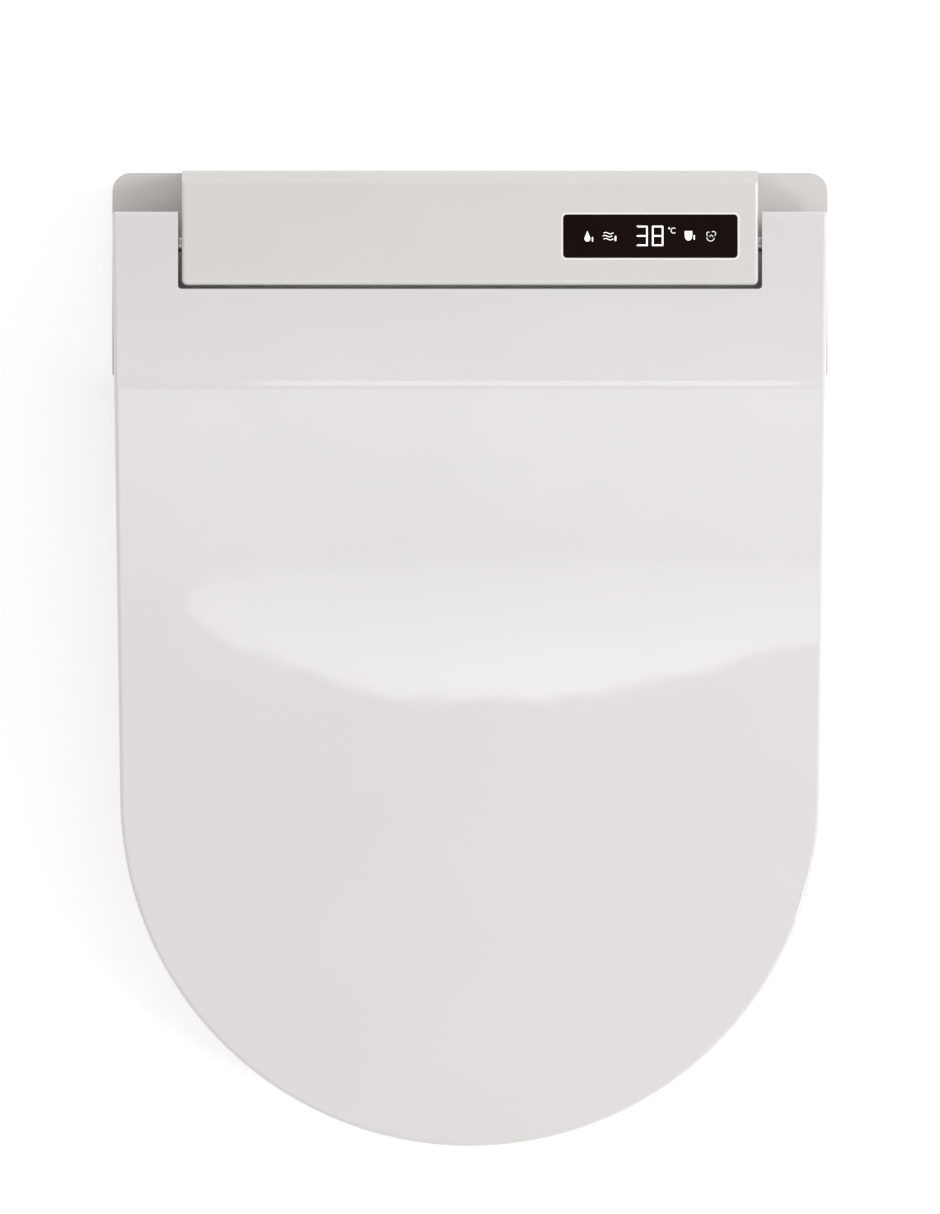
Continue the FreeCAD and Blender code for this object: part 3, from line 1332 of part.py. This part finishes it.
    link = rod("hose_link", "y", (middle_x, "flow_high_y", "link_z"), "hose_r",
               "inlet_y - valve_foot_half - flow_high_y", "feed_r")
    slope = math.radians(size("slope"))
    back = Vector(0, math.cos(slope), math.sin(slope))
    end = Vector(0, size("tip_y"), size("tip_z")) + back * size("guide_to")
    port_y, low_port, high_port = (size("tank_port_y"), size("tank_inlet_z"),
                                   size("tank_outlet_z"))
    runs = [
        [Vector(size("valve_high_x"), -4, 20), Vector(-112, -4, 20), Vector(-124, port_y, low_port),
         Vector(size("tank_low_x"), port_y, low_port)],
        [Vector(size("tank_high_x"), port_y, high_port), Vector(-14, port_y, high_port),
         end + back * 24, end],
    ]
    nipple = Part.makeCylinder(size("feed_r"), 4.5, end, back)
    hoses = [link]
    for number, poles in enumerate(runs):
        curve = Part.BezierCurve()
        curve.setPoles(poles)
        path = Part.Wire(curve.toShape())
        lead = (poles[1] - poles[0]).normalize()
        tubes = []
        for radius in (size("hose_r"), size("feed_r")):
            ring = Part.Wire(Part.makeCircle(radius, poles[0], lead))
            tubes.append(path.makePipeShell([ring], True, False))
        hose = doc.addObject("Part::Feature", f"hose_{number}")
        hose.Shape = tubes[0].cut(tubes[1]).cut(nipple)
        hoses.append(hose)
    keep("water_hoses", group("water_hoses", hoses))


# ---------------------------------------------------------------- electronics

def electric_parts():
    top = "(main_z + board_thick)"
    keep("main_board", block("main_board", ("main_low_x", "main_high_x"),
                             ("main_low_y", "main_high_y"), ("main_z", top)))
    keep("power_unit", block("power_unit", ("main_low_x + power_in", "main_high_x - power_in"),
                             ("power_front", "power_rear"), (top, f"{top} + power_high")))
    cans = [rod(f"capacitor_{n}", "z", (f"main_low_x + can_in + {n} * can_pitch", "can_y", top),
                "can_r", "can_high") for n in range(2)]
    keep("board_capacitors", group("board_capacitors", cans))
    keep("display_cable", block(
        "display_cable", ("display_x + cable_x", "display_x + cable_x + cable_wide"),
        ("cable_y", "cable_y + cable_thick"),
        (top, "lid_top - window_thick - module_thick - board_thick")))
    sleeve = rod("gland_sleeve", "y", ("gland_x", "body_rear - gland_deep", "gland_z"), "gland_r",
                 "gland_deep")
    collar = rod("gland_collar", "y", ("gland_x", "body_rear - shell - gland_collar", "gland_z"),
                 "gland_r + gland_collar", "gland_collar")
    bore = rod("gland_bore_hole", "y", ("gland_x", "body_rear - 20", "gland_z"), "gland_bore", "30")
    keep("cord_gland", cut("cord_gland", join("gland_solid", sleeve, collar), bore))


for build in (lid_outer, lid_inner, lid_bumpers, seat_upper, seat_lower, seat_heater,
              seat_bumpers, seat_arms, hinge_parts, upper_cover, display_parts, lower_housing,
              base_pads, mounting_plate, release_latch, cover_screws, nozzle_parts, dryer_parts,
              deodoriser_parts, water_parts, electric_parts):
    build()

doc.recompute()
failed = [item.Name for item in doc.Objects if {"Invalid", "Error"} & set(item.State)]
failed += [name for name, item in NODES if item.Shape.isNull() or not item.Shape.isValid()]
if failed:
    raise ValueError(f"these did not build: {failed}")
os.makedirs("parts", exist_ok=True)
for name, item in NODES:
    item.Shape.exportStep(f"parts/{name}.step")
print(len(NODES), "pieces written")
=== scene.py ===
import json
import math

import bmesh
import bpy
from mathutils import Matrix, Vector


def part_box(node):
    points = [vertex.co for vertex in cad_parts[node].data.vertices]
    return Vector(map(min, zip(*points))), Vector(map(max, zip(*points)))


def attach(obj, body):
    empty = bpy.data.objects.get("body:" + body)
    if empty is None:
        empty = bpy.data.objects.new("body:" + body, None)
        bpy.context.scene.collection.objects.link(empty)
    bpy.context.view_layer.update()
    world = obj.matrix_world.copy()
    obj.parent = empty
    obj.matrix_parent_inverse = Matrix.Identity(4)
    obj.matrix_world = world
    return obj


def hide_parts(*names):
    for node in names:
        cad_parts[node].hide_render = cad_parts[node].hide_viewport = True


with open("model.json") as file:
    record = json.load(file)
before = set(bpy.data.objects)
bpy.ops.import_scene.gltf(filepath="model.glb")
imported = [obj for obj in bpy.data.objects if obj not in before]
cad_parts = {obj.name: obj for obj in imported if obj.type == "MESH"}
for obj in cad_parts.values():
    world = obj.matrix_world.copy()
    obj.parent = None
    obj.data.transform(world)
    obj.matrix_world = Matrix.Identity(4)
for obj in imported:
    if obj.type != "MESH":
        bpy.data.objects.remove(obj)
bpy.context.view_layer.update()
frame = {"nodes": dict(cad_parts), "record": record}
NODES = frame["nodes"]
BODY_OF = {node: body for body, nodes in frame["record"]["behaviour"]["bodies"].items()
           for node in nodes}
scene = bpy.context.scene


# ---------------------------------------------------------------- shader helpers

class Shader:
    """A node material, with short calls for its nodes and links."""

    def __init__(self, name):
        self.material = bpy.data.materials.new(name)
        self.material.use_nodes = True
        self.tree = self.material.node_tree
        self.surface = self.tree.nodes["Principled BSDF"]
        self.place = self.add("ShaderNodeTexCoord").outputs["Object"]

    def add(self, kind, **values):
        node = self.tree.nodes.new(kind)
        for key, value in values.items():
            setattr(node, key, value)
        return node

    def link(self, source, target):
        self.tree.links.new(source, target)

    def stretched(self, scale):
        mapping = self.add("ShaderNodeMapping")
        mapping.inputs["Scale"].default_value = scale
        self.link(self.place, mapping.inputs["Vector"])
        return mapping.outputs["Vector"]

    def noise(self, scale, detail=3.0, rough=0.55, place=None):
        node = self.add("ShaderNodeTexNoise")
        node.inputs["Scale"].default_value = scale
        node.inputs["Detail"].default_value = detail
        node.inputs["Roughness"].default_value = rough
        self.link(place or self.place, node.inputs["Vector"])
        return node.outputs["Fac"]

    def span(self, source, low, high, start=0.3, end=0.7):
        node = self.add("ShaderNodeMapRange")
        node.inputs["From Min"].default_value = start
        node.inputs["From Max"].default_value = end
        node.inputs["To Min"].default_value = low
        node.inputs["To Max"].default_value = high
        self.link(source, node.inputs["Value"])
        return node.outputs["Result"]

    def tint(self, source, first, second):
        ramp = self.add("ShaderNodeValToRGB")
        ramp.color_ramp.elements[0].position = 0.3
        ramp.color_ramp.elements[1].position = 0.7
        ramp.color_ramp.elements[0].color = (*first, 1)
        ramp.color_ramp.elements[1].color = (*second, 1)
        self.link(source, ramp.inputs["Fac"])
        self.link(ramp.outputs["Color"], self.surface.inputs["Base Color"])

    def bump(self, source, strength, distance, under=None):
        node = self.add("ShaderNodeBump")
        node.inputs["Strength"].default_value = strength
        node.inputs["Distance"].default_value = distance
        self.link(source, node.inputs["Height"])
        if under:
            self.link(under, node.inputs["Normal"])
        self.link(node.outputs["Normal"], self.surface.inputs["Normal"])
        return node.outputs["Normal"]

    def uneven_gloss(self, source, low, high):
        self.link(self.span(source, low, high), self.surface.inputs["Roughness"])

    def set(self, **values):
        for key, value in values.items():
            self.surface.inputs[key.replace("_", " ")].default_value = value


def shade(colour, factor):
    return tuple(min(1, c * factor) for c in colour)


def plastic(name, colour, rough, grain=0.0, coat=0.0, shine=0.5):
    """Moulded plastic: faint cloudy tint, waviness from the mould, and a fine grain if asked."""
    s = Shader(name)
    s.tint(s.noise(scale=6, detail=2), shade(colour, 0.985), shade(colour, 1.012))
    s.uneven_gloss(s.noise(scale=45, detail=4), low=rough * 0.8, high=rough * 1.25)
    wave = s.bump(s.noise(scale=28, detail=1), strength=0.04, distance=0.001)
    if grain:
        s.bump(s.noise(scale=2200, detail=2, rough=0.7), strength=grain, distance=0.0002, under=wave)
    s.set(IOR=1.5, Specular_IOR_Level=shine, Coat_Weight=coat, Coat_Roughness=0.05)
    return s.material


def rubber(name, colour):
    s = Shader(name)
    s.tint(s.noise(scale=60, detail=4), shade(colour, 0.9), shade(colour, 1.08))
    s.uneven_gloss(s.noise(scale=300), low=0.6, high=0.8)
    s.bump(s.noise(scale=1500), strength=0.25, distance=0.0003)
    s.set(Specular_IOR_Level=0.3)
    return s.material


def steel(name, colour=(0.6, 0.6, 0.61), rough=0.25):
    """Brushed metal: streaks that run along x."""
    s = Shader(name)
    streaks = s.noise(scale=1, rough=0.6, place=s.stretched((60, 2500, 2500)))
    s.tint(streaks, shade(colour, 0.88), shade(colour, 1.06))
    s.uneven_gloss(streaks, low=rough * 0.7, high=rough * 1.3)
    s.bump(streaks, strength=0.08, distance=0.0001)
    s.set(Metallic=1.0)
    return s.material


def board(name):
    """A circuit board: dark lacquer with lighter tracks between square cells."""
    s = Shader(name)
    tracks = s.add("ShaderNodeTexVoronoi", feature="DISTANCE_TO_EDGE", distance="CHEBYCHEV")
    tracks.inputs["Scale"].default_value = 220
    s.link(s.place, tracks.inputs["Vector"])
    edges = s.span(tracks.outputs["Distance"], low=0.2, high=0.8, start=0.02, end=0.06)
    s.tint(edges, (0.04, 0.2, 0.08), (0.02, 0.12, 0.045))
    s.bump(tracks.outputs["Distance"], strength=0.2, distance=0.0002)
    s.uneven_gloss(s.noise(scale=80), low=0.25, high=0.4)
    return s.material


def banded(name, first, second, metallic, rough, pitch, axis="Z"):
    """Windings, tape or laminations: close bands along one axis."""
    s = Shader(name)
    wave = s.add("ShaderNodeTexWave", bands_direction=axis)
    wave.inputs["Scale"].default_value = pitch
    wave.inputs["Distortion"].default_value = 0.3
    s.link(s.place, wave.inputs["Vector"])
    s.tint(wave.outputs["Fac"], first, second)
    s.bump(wave.outputs["Fac"], strength=0.5, distance=0.0003)
    s.uneven_gloss(s.noise(scale=200), low=rough * 0.8, high=rough * 1.2)
    s.set(Metallic=metallic)
    return s.material


def granules(name):
    """Loose black grains."""
    s = Shader(name)
    cell = s.add("ShaderNodeTexVoronoi")
    cell.inputs["Scale"].default_value = 500
    s.link(s.place, cell.inputs["Vector"])
    s.tint(cell.outputs["Distance"], (0.05, 0.05, 0.05), (0.01, 0.01, 0.01))
    s.bump(cell.outputs["Distance"], strength=0.8, distance=0.001)
    s.uneven_gloss(s.noise(scale=100), low=0.6, high=0.9)
    return s.material


def glow(name, colour, strength):
    """A lit surface, very slightly uneven."""
    s = Shader(name)
    s.tint(s.noise(scale=400), shade(colour, 0.94), colour)
    uneven = s.span(s.noise(scale=900), low=strength * 0.94, high=strength)
    s.link(uneven, s.surface.inputs["Emission Strength"])
    s.set(Emission_Color=(*colour, 1), Roughness=0.4)
    return s.material


WHITE = (0.70, 0.688, 0.677)
LOOKS = {
    "lid_white": plastic("lid_white", (0.70, 0.690, 0.686), 0.036),
    # The cover is a shade darker than WHITE. Part of that is its own slightly darker plastic, and
    # part is painted shade that darkens the cover's flat top beyond what the lights give.
    "cover_white": plastic("cover_white", shade(WHITE, 0.965), 0.1, 0.02),
    "seat_white": plastic("seat_white", WHITE, 0.1, coat=0.2),
    "base_white": plastic("base_white", shade(WHITE, 0.96), 0.36, 0.12),
    "window_black": plastic("window_black", (0.0085, 0.0036, 0.0026), 0.1, shine=0.1),
    "bezel_white": plastic("bezel_white", (0.86, 0.85, 0.84), 0.14),
    "display_white": plastic("display_white", (0.6, 0.61, 0.63), 0.4, 0.1),
    "board_green": board("board_green"),
    "pad_grey": rubber("pad_grey", (0.3, 0.3, 0.295)),
    "steel": steel("steel"),
    "damper_black": plastic("damper_black", (0.02, 0.02, 0.022), 0.35, 0.1),
    "foil": steel("foil", (0.78, 0.78, 0.78), 0.35),
    "inner_grey": plastic("inner_grey", (0.28, 0.29, 0.3), 0.4, 0.15),
    "inner_black": plastic("inner_black", (0.02, 0.02, 0.022), 0.4, 0.15),
    "carbon": granules("carbon"),
    "hose_clear": plastic("hose_clear", (0.55, 0.56, 0.54), 0.3, 0.05),
    "copper": banded("copper", (0.5, 0.16, 0.07), (0.68, 0.28, 0.13), 0.9, 0.35, 250),
    "ceramic_rod": plastic("ceramic_rod", (0.7, 0.68, 0.62), 0.7, 0.3),
    "mica": banded("mica", (0.4, 0.3, 0.15), (0.55, 0.43, 0.24), 0.1, 0.4, 90),
    "power_yellow": banded("power_yellow", (0.5, 0.35, 0.04), (0.62, 0.46, 0.07), 0.0, 0.3, 40),
}
SLOT_OF = {p["node"]: p["material_slot"] for p in frame["record"]["subparts"]}
for name, node in NODES.items():
    node.data.materials.clear()
    node.data.materials.append(LOOKS[SLOT_OF[name]])


# ---------------------------------------------------------------- finished pieces

def piece(name, mesh, node, slot=None, look=None):
    """Put a new mesh in the scene on the body of a CAD node, finished as that node is unless
    told otherwise."""
    slot = slot or SLOT_OF[node]
    obj = bpy.data.objects.new(name, mesh)
    scene.collection.objects.link(obj)
    mesh.materials.clear()
    mesh.materials.append(LOOKS[look or slot])
    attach(obj, BODY_OF[node])
    return obj


WELD = 2e-6            # points nearer than this are one point
ON_LINE = 2e-5         # how near a crease's points lie to its line
FLAT_ANGLE = 0.4       # degrees: faces that turn less than this join into one
SHARP_ANGLE = 32       # degrees: edges that turn more than this get rounded


def crease_edges(bm, y, z):
    return [e for e in bm.edges
            if all(abs(v.co.y - y) < ON_LINE and abs(v.co.z - z) < ON_LINE for v in e.verts)]


def moulded(node, width, segments=3, crease=None):
    """Replace a CAD node with a copy whose sharp edges are rounded as a moulding's are.  A crease
    is a shallow fold along x, given as (y, z, width), that gets a wider rounding of its own."""
    bm = bmesh.new()
    bm.from_mesh(NODES[node].data)
    bmesh.ops.remove_doubles(bm, verts=bm.verts, dist=WELD)
    bmesh.ops.dissolve_limit(bm, angle_limit=math.radians(FLAT_ANGLE), verts=bm.verts,
                             edges=bm.edges)
    if crease:
        y, z, crease_width = crease
        bmesh.ops.bevel(bm, geom=crease_edges(bm, y, z), offset=crease_width, segments=8,
                        profile=0.5, affect="EDGES", clamp_overlap=True)
    mesh = bpy.data.meshes.new(node + "_moulded")
    bm.to_mesh(mesh)
    bm.free()
    for face in mesh.polygons:
        face.use_smooth = True
    obj = piece(node + "_moulded", mesh, node)
    bevel = obj.modifiers.new("edges", "BEVEL")
    bevel.width = width
    bevel.segments = segments
    bevel.limit_method = "ANGLE"
    bevel.angle_limit = math.radians(SHARP_ANGLE)
    bevel.use_clamp_overlap = True
    smooth = obj.modifiers.new("normals", "WEIGHTED_NORMAL")
    smooth.keep_sharp = False
    smooth.weight = 100
    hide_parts(node)


LID_CREASE_Y = -0.054  # where the lid's flat rear meets its slope
LID_CREASE_WIDE = 0.0024
LID_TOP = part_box("lid_outer")[1].z
moulded("lid_outer", 0.0005, crease=(LID_CREASE_Y, LID_TOP, LID_CREASE_WIDE))
for node, width in (("upper_cover", 0.0006), ("lower_housing", 0.0005), ("seat_upper", 0.001),
                    ("seat_arm_right", 0.0015), ("seat_arm_left", 0.0015),
                    ("display_bezel", 0.00025), ("display_window", 0.0001),
                    ("mounting_plate", 0.0004), ("lid_inner", 0.0003), ("seat_lower", 0.0003),
                    ("release_latch", 0.0005), ("cover_screws", 0.0003), ("cord_gland", 0.0005),
                    ("inlet_elbow", 0.0004), ("nozzle_tip", 0.0003), ("nozzle_wand", 0.0002),
                    ("dryer_flap", 0.0002), ("base_pads", 0.0006), ("seat_bumpers", 0.0008),
                    ("lid_bumpers", 0.0008)):
    moulded(node, width)


# ---------------------------------------------------------------- display symbols

WINDOW_LOW, WINDOW_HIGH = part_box("display_window")
WINDOW_MIDDLE = (WINDOW_LOW + WINDOW_HIGH) / 2
MM = 0.001
SYMBOL_LIFT = 0.00003  # how far the symbols lie above the window
LOOKS["symbols"] = glow("symbols", (1.0, 0.99, 0.97), 1.0)


def stroke(points, wide):
    """A flat line of even width through points, with mitred bends."""
    left, right = [], []
    for i, point in enumerate(points):
        before = points[max(i - 1, 0)]
        after = points[min(i + 1, len(points) - 1)]
        along = Vector((after[0] - before[0], after[1] - before[1])).normalized()
        side = Vector((-along.y, along.x)) * wide / 2
        left.append((point[0] + side.x, point[1] + side.y))
        right.append((point[0] - side.x, point[1] - side.y))
    return [[left[i], left[i + 1], right[i + 1], right[i]] for i in range(len(points) - 1)]


def bar(x, y, wide, high, cap):
    """A level bar with clipped corners, from its lower left corner."""
    return [[(x + cap, y), (x + wide - cap, y), (x + wide, y + cap), (x + wide, y + high - cap),
             (x + wide - cap, y + high), (x + cap, y + high), (x, y + high - cap), (x, y + cap)]]


def digit(x, y, wide, high, lit, thick=0.78, gap=0.08):
    """A seven-segment digit with its lamps lettered a to g, from its lower left corner.  The
    outer lamps are mitred together, so the digit's outline is a rectangle."""
    half = high / 2
    side = [(0, half + gap), (0, high - gap), (thick, high - thick - gap),
            (thick, half + thick / 2 + gap)]
    end = [(gap, high), (wide - gap, high), (wide - thick - gap, high - thick),
           (thick + gap, high - thick)]
    bridge = [(gap, half), (thick, half + thick / 2), (wide - thick, half + thick / 2),
              (wide - gap, half), (wide - thick, half - thick / 2), (thick, half - thick / 2)]
    lamps = {"a": end, "d": [(u, high - v) for u, v in end], "f": side, "g": bridge,
             "e": [(u, high - v) for u, v in side], "b": [(wide - u, v) for u, v in side],
             "c": [(wide - u, high - v) for u, v in side]}
    return [[(x + u, y + v) for u, v in lamps[lamp]] for lamp in lit]


def arc(x, y, radius, start, end, steps=14):
    """Points round a centre, from one angle to another in degrees."""
    turns = [math.radians(start + (end - start) * i / steps) for i in range(steps + 1)]
    return [(x + radius * math.cos(a), y + radius * math.sin(a)) for a in turns]


def symbols():
    """Water, spray, temperature, seat heat and fan, in millimetres from the window's middle."""
    drop = arc(-33.4, -1.3, 1.5, -215, 35, 18) + [(-32.7, 0.9), (-33.4, 2.8), (-34.1, 0.9)]
    faces = [drop] + bar(-31.0, -2.9, 0.6, 2.5, 0.2)
    for height, start in ((1.6, -24.8), (0.0, -25.3), (-1.6, -24.8)):
        wave = [(start + 0.32 * i, height + 0.42 * math.sin(i * 0.42)) for i in range(17)]
        faces += stroke(wave, 0.29)
    faces += bar(-18.9, -2.6, 0.8, 2.8, 0.25)
    faces += digit(-7.5, -5.2, 6.1, 10.7, "abgcd")
    faces += digit(0.9, -5.2, 6.0, 10.7, "abcdefg")
    faces += stroke(arc(10.0, 4.2, 0.42, 0, 360, 16), 0.2)
    faces += stroke(arc(12.4, 3.0, 1.4, 50, 310, 16), 0.27)
    faces.append([(18.3, 2.7), (22.2, 2.7), (22.2, 0.2), (21.9, -1.2), (21.0, -2.2), (19.6, -2.2),
                  (18.6, -1.2), (18.3, 0.2)])
    faces += bar(23.0, -1.9, 0.6, 2.5, 0.2)
    faces += stroke(arc(32.0, -0.6, 2.0, 180, 350, 14), 0.24)
    faces += stroke(arc(30.9, 1.2, 1.0, 60, 250, 10), 0.24)
    faces += stroke(arc(33.5, 1.3, 1.2, -60, 130, 10), 0.24)
    faces += stroke(arc(32.4, -0.2, 0.8, -20, 200, 10), 0.2)
    return faces


def flat_symbols():
    """The lit symbols, as flat faces that look up."""
    height = WINDOW_HIGH.z + SYMBOL_LIFT
    bm = bmesh.new()
    for outline in symbols():
        bm.faces.new([bm.verts.new((WINDOW_MIDDLE.x + x * MM, WINDOW_MIDDLE.y + y * MM, height))
                      for x, y in outline])
    bm.normal_update()
    for face in bm.faces:
        if face.normal.z < 0:
            face.normal_flip()
    mesh = bpy.data.meshes.new("display_symbols")
    bm.to_mesh(mesh)
    bm.free()
    piece("display_symbols", mesh, "display_window", slot="display_white", look="symbols")


flat_symbols()


# ---------------------------------------------------------------- studio

def flat_mesh(name, corners):
    mesh = bpy.data.meshes.new(name)
    mesh.from_pydata([Vector(c) for c in corners], [], [list(range(len(corners)))])
    obj = bpy.data.objects.new(name, mesh)
    scene.collection.objects.link(obj)
    return obj


FLOOR_HALF = 4
floor = flat_mesh("floor", [(-FLOOR_HALF, -FLOOR_HALF, 0), (FLOOR_HALF, -FLOOR_HALF, 0),
                            (FLOOR_HALF, FLOOR_HALF, 0), (-FLOOR_HALF, FLOOR_HALF, 0)])
floor_look = Shader("floor_look")
floor_look.tint(floor_look.noise(scale=3), (0.9, 0.9, 0.9), (0.92, 0.92, 0.92))
floor_look.set(Roughness=0.6, Specular_IOR_Level=0.1, Emission_Color=(1, 1, 1, 1),
               Emission_Strength=0.32)
floor.data.materials.append(floor_look.material)


def glow_card(name, outline, height, stops):
    """A card overhead that glows downwards and shows as a reflection.  Its strength follows y
    through stops of (y, strength)."""
    card = flat_mesh(name, [(x, y, height) for x, y in outline])
    s = Shader(name)
    split = s.add("ShaderNodeSeparateXYZ")
    s.link(s.place, split.inputs["Vector"])
    strength = None
    for (y0, e0), (y1, e1) in zip(stops, stops[1:]):
        climb = s.add("ShaderNodeMapRange")
        for key, value in (("From Min", y0), ("From Max", y1), ("To Min", 0), ("To Max", e1 - e0)):
            climb.inputs[key].default_value = value
        s.link(split.outputs["Y"], climb.inputs["Value"])
        total = s.add("ShaderNodeMath", operation="ADD")
        s.link(climb.outputs["Result"], total.inputs[0])
        if strength:
            s.link(strength, total.inputs[1])
        else:
            total.inputs[1].default_value = e0
        strength = total.outputs[0]
    s.set(Base_Color=(0, 0, 0, 1), Emission_Color=(1, 1, 1, 1), Specular_IOR_Level=0.0)
    s.link(strength, s.surface.inputs["Emission Strength"])
    card.data.materials.append(s.material)


def card_corners(left, right, front, rear):
    return [(left, front), (right, front), (right, rear), (left, rear)]


# The low card shows on the lid's slope as the reflection of a window: nearly straight along its
# rear edge, bowed along its front edge and blunt at its left end.
WINDOW_HEIGHT = 1.6
REAR_EDGE = [(-0.190, -0.470), (-0.187, -0.464), (-0.172, -0.455), (-0.164, -0.453),
             (-0.140, -0.450), (-0.100, -0.449), (-0.060, -0.444), (-0.020, -0.4425),
             (0.220, -0.4425), (0.254, -0.444)]
FRONT_EDGE = [(0.254, -0.490), (0.140, -0.5205), (0.080, -0.533), (0.060, -0.536),
              (-0.020, -0.535), (-0.060, -0.531), (-0.100, -0.518), (-0.140, -0.5055),
              (-0.164, -0.496), (-0.180, -0.4855), (-0.187, -0.478)]
glow_card("window_card", REAR_EDGE + FRONT_EDGE, WINDOW_HEIGHT,
          [(-0.5361, 4.3), (-0.4884, 3.2), (-0.4421, 2.15)])

# The high cards give the slope its soft bright zone, the crease its light line and the flat tops
# their darker tone.
CARD_HEIGHT = 6.2
CARD_STEP = 0.02       # the crease card hangs a little higher than the others
glow_card("sky_card", card_corners(-1.1, 1.1, -1.36, -1.12), CARD_HEIGHT,
          [(-1.36, 1.2), (-1.26, 1.65), (-1.17, 2.1), (-1.12, 2.1)])
glow_card("crease_card", card_corners(-0.232, 0.356, -0.62, -0.02), CARD_HEIGHT + CARD_STEP,
          [(-0.62, 3.2), (-0.02, 3.2)])
glow_card("dark_card", card_corners(-1.3, 1.3, 0.06, 1.4), CARD_HEIGHT,
          [(0.06, 1.3), (0.092, 0.9), (0.178, 0.2), (0.25, 0.0)])


def softbox(name, at, towards, size, power):
    light = bpy.data.lights.new(name, "AREA")
    light.shape = "DISK"
    light.size = size
    light.energy = power
    obj = bpy.data.objects.new(name, light)
    obj.location = at
    obj.rotation_mode = "QUATERNION"
    obj.rotation_quaternion = (Vector(towards) - Vector(at)).to_track_quat("-Z", "Y")
    scene.collection.objects.link(obj)
    return obj


softbox("key", at=(3.29, -2.04, 3.47), towards=(0, -0.15, 0.05), size=0.75, power=32)
softbox("side", at=(3.45, 0.725, 2.45), towards=(0, -0.1, 0.05), size=1.35, power=62)

world = bpy.data.worlds.new("studio")
world.use_nodes = True
background = world.node_tree.nodes["Background"]
background.inputs["Color"].default_value = (1.0, 0.985, 0.965, 1)
background.inputs["Strength"].default_value = 0.8
scene.world = world
scene.view_settings.view_transform = "Standard"

CAMERA_AT = (0, -0.1719, 6.1)      # straight above the object, looking down
CAMERA_LENS = 335.26
camera_data = bpy.data.cameras.new("camera")
camera_data.lens = CAMERA_LENS
camera_data.clip_end = 50
camera = bpy.data.objects.new("camera", camera_data)
camera.location = CAMERA_AT
scene.collection.objects.link(camera)
scene.camera = camera
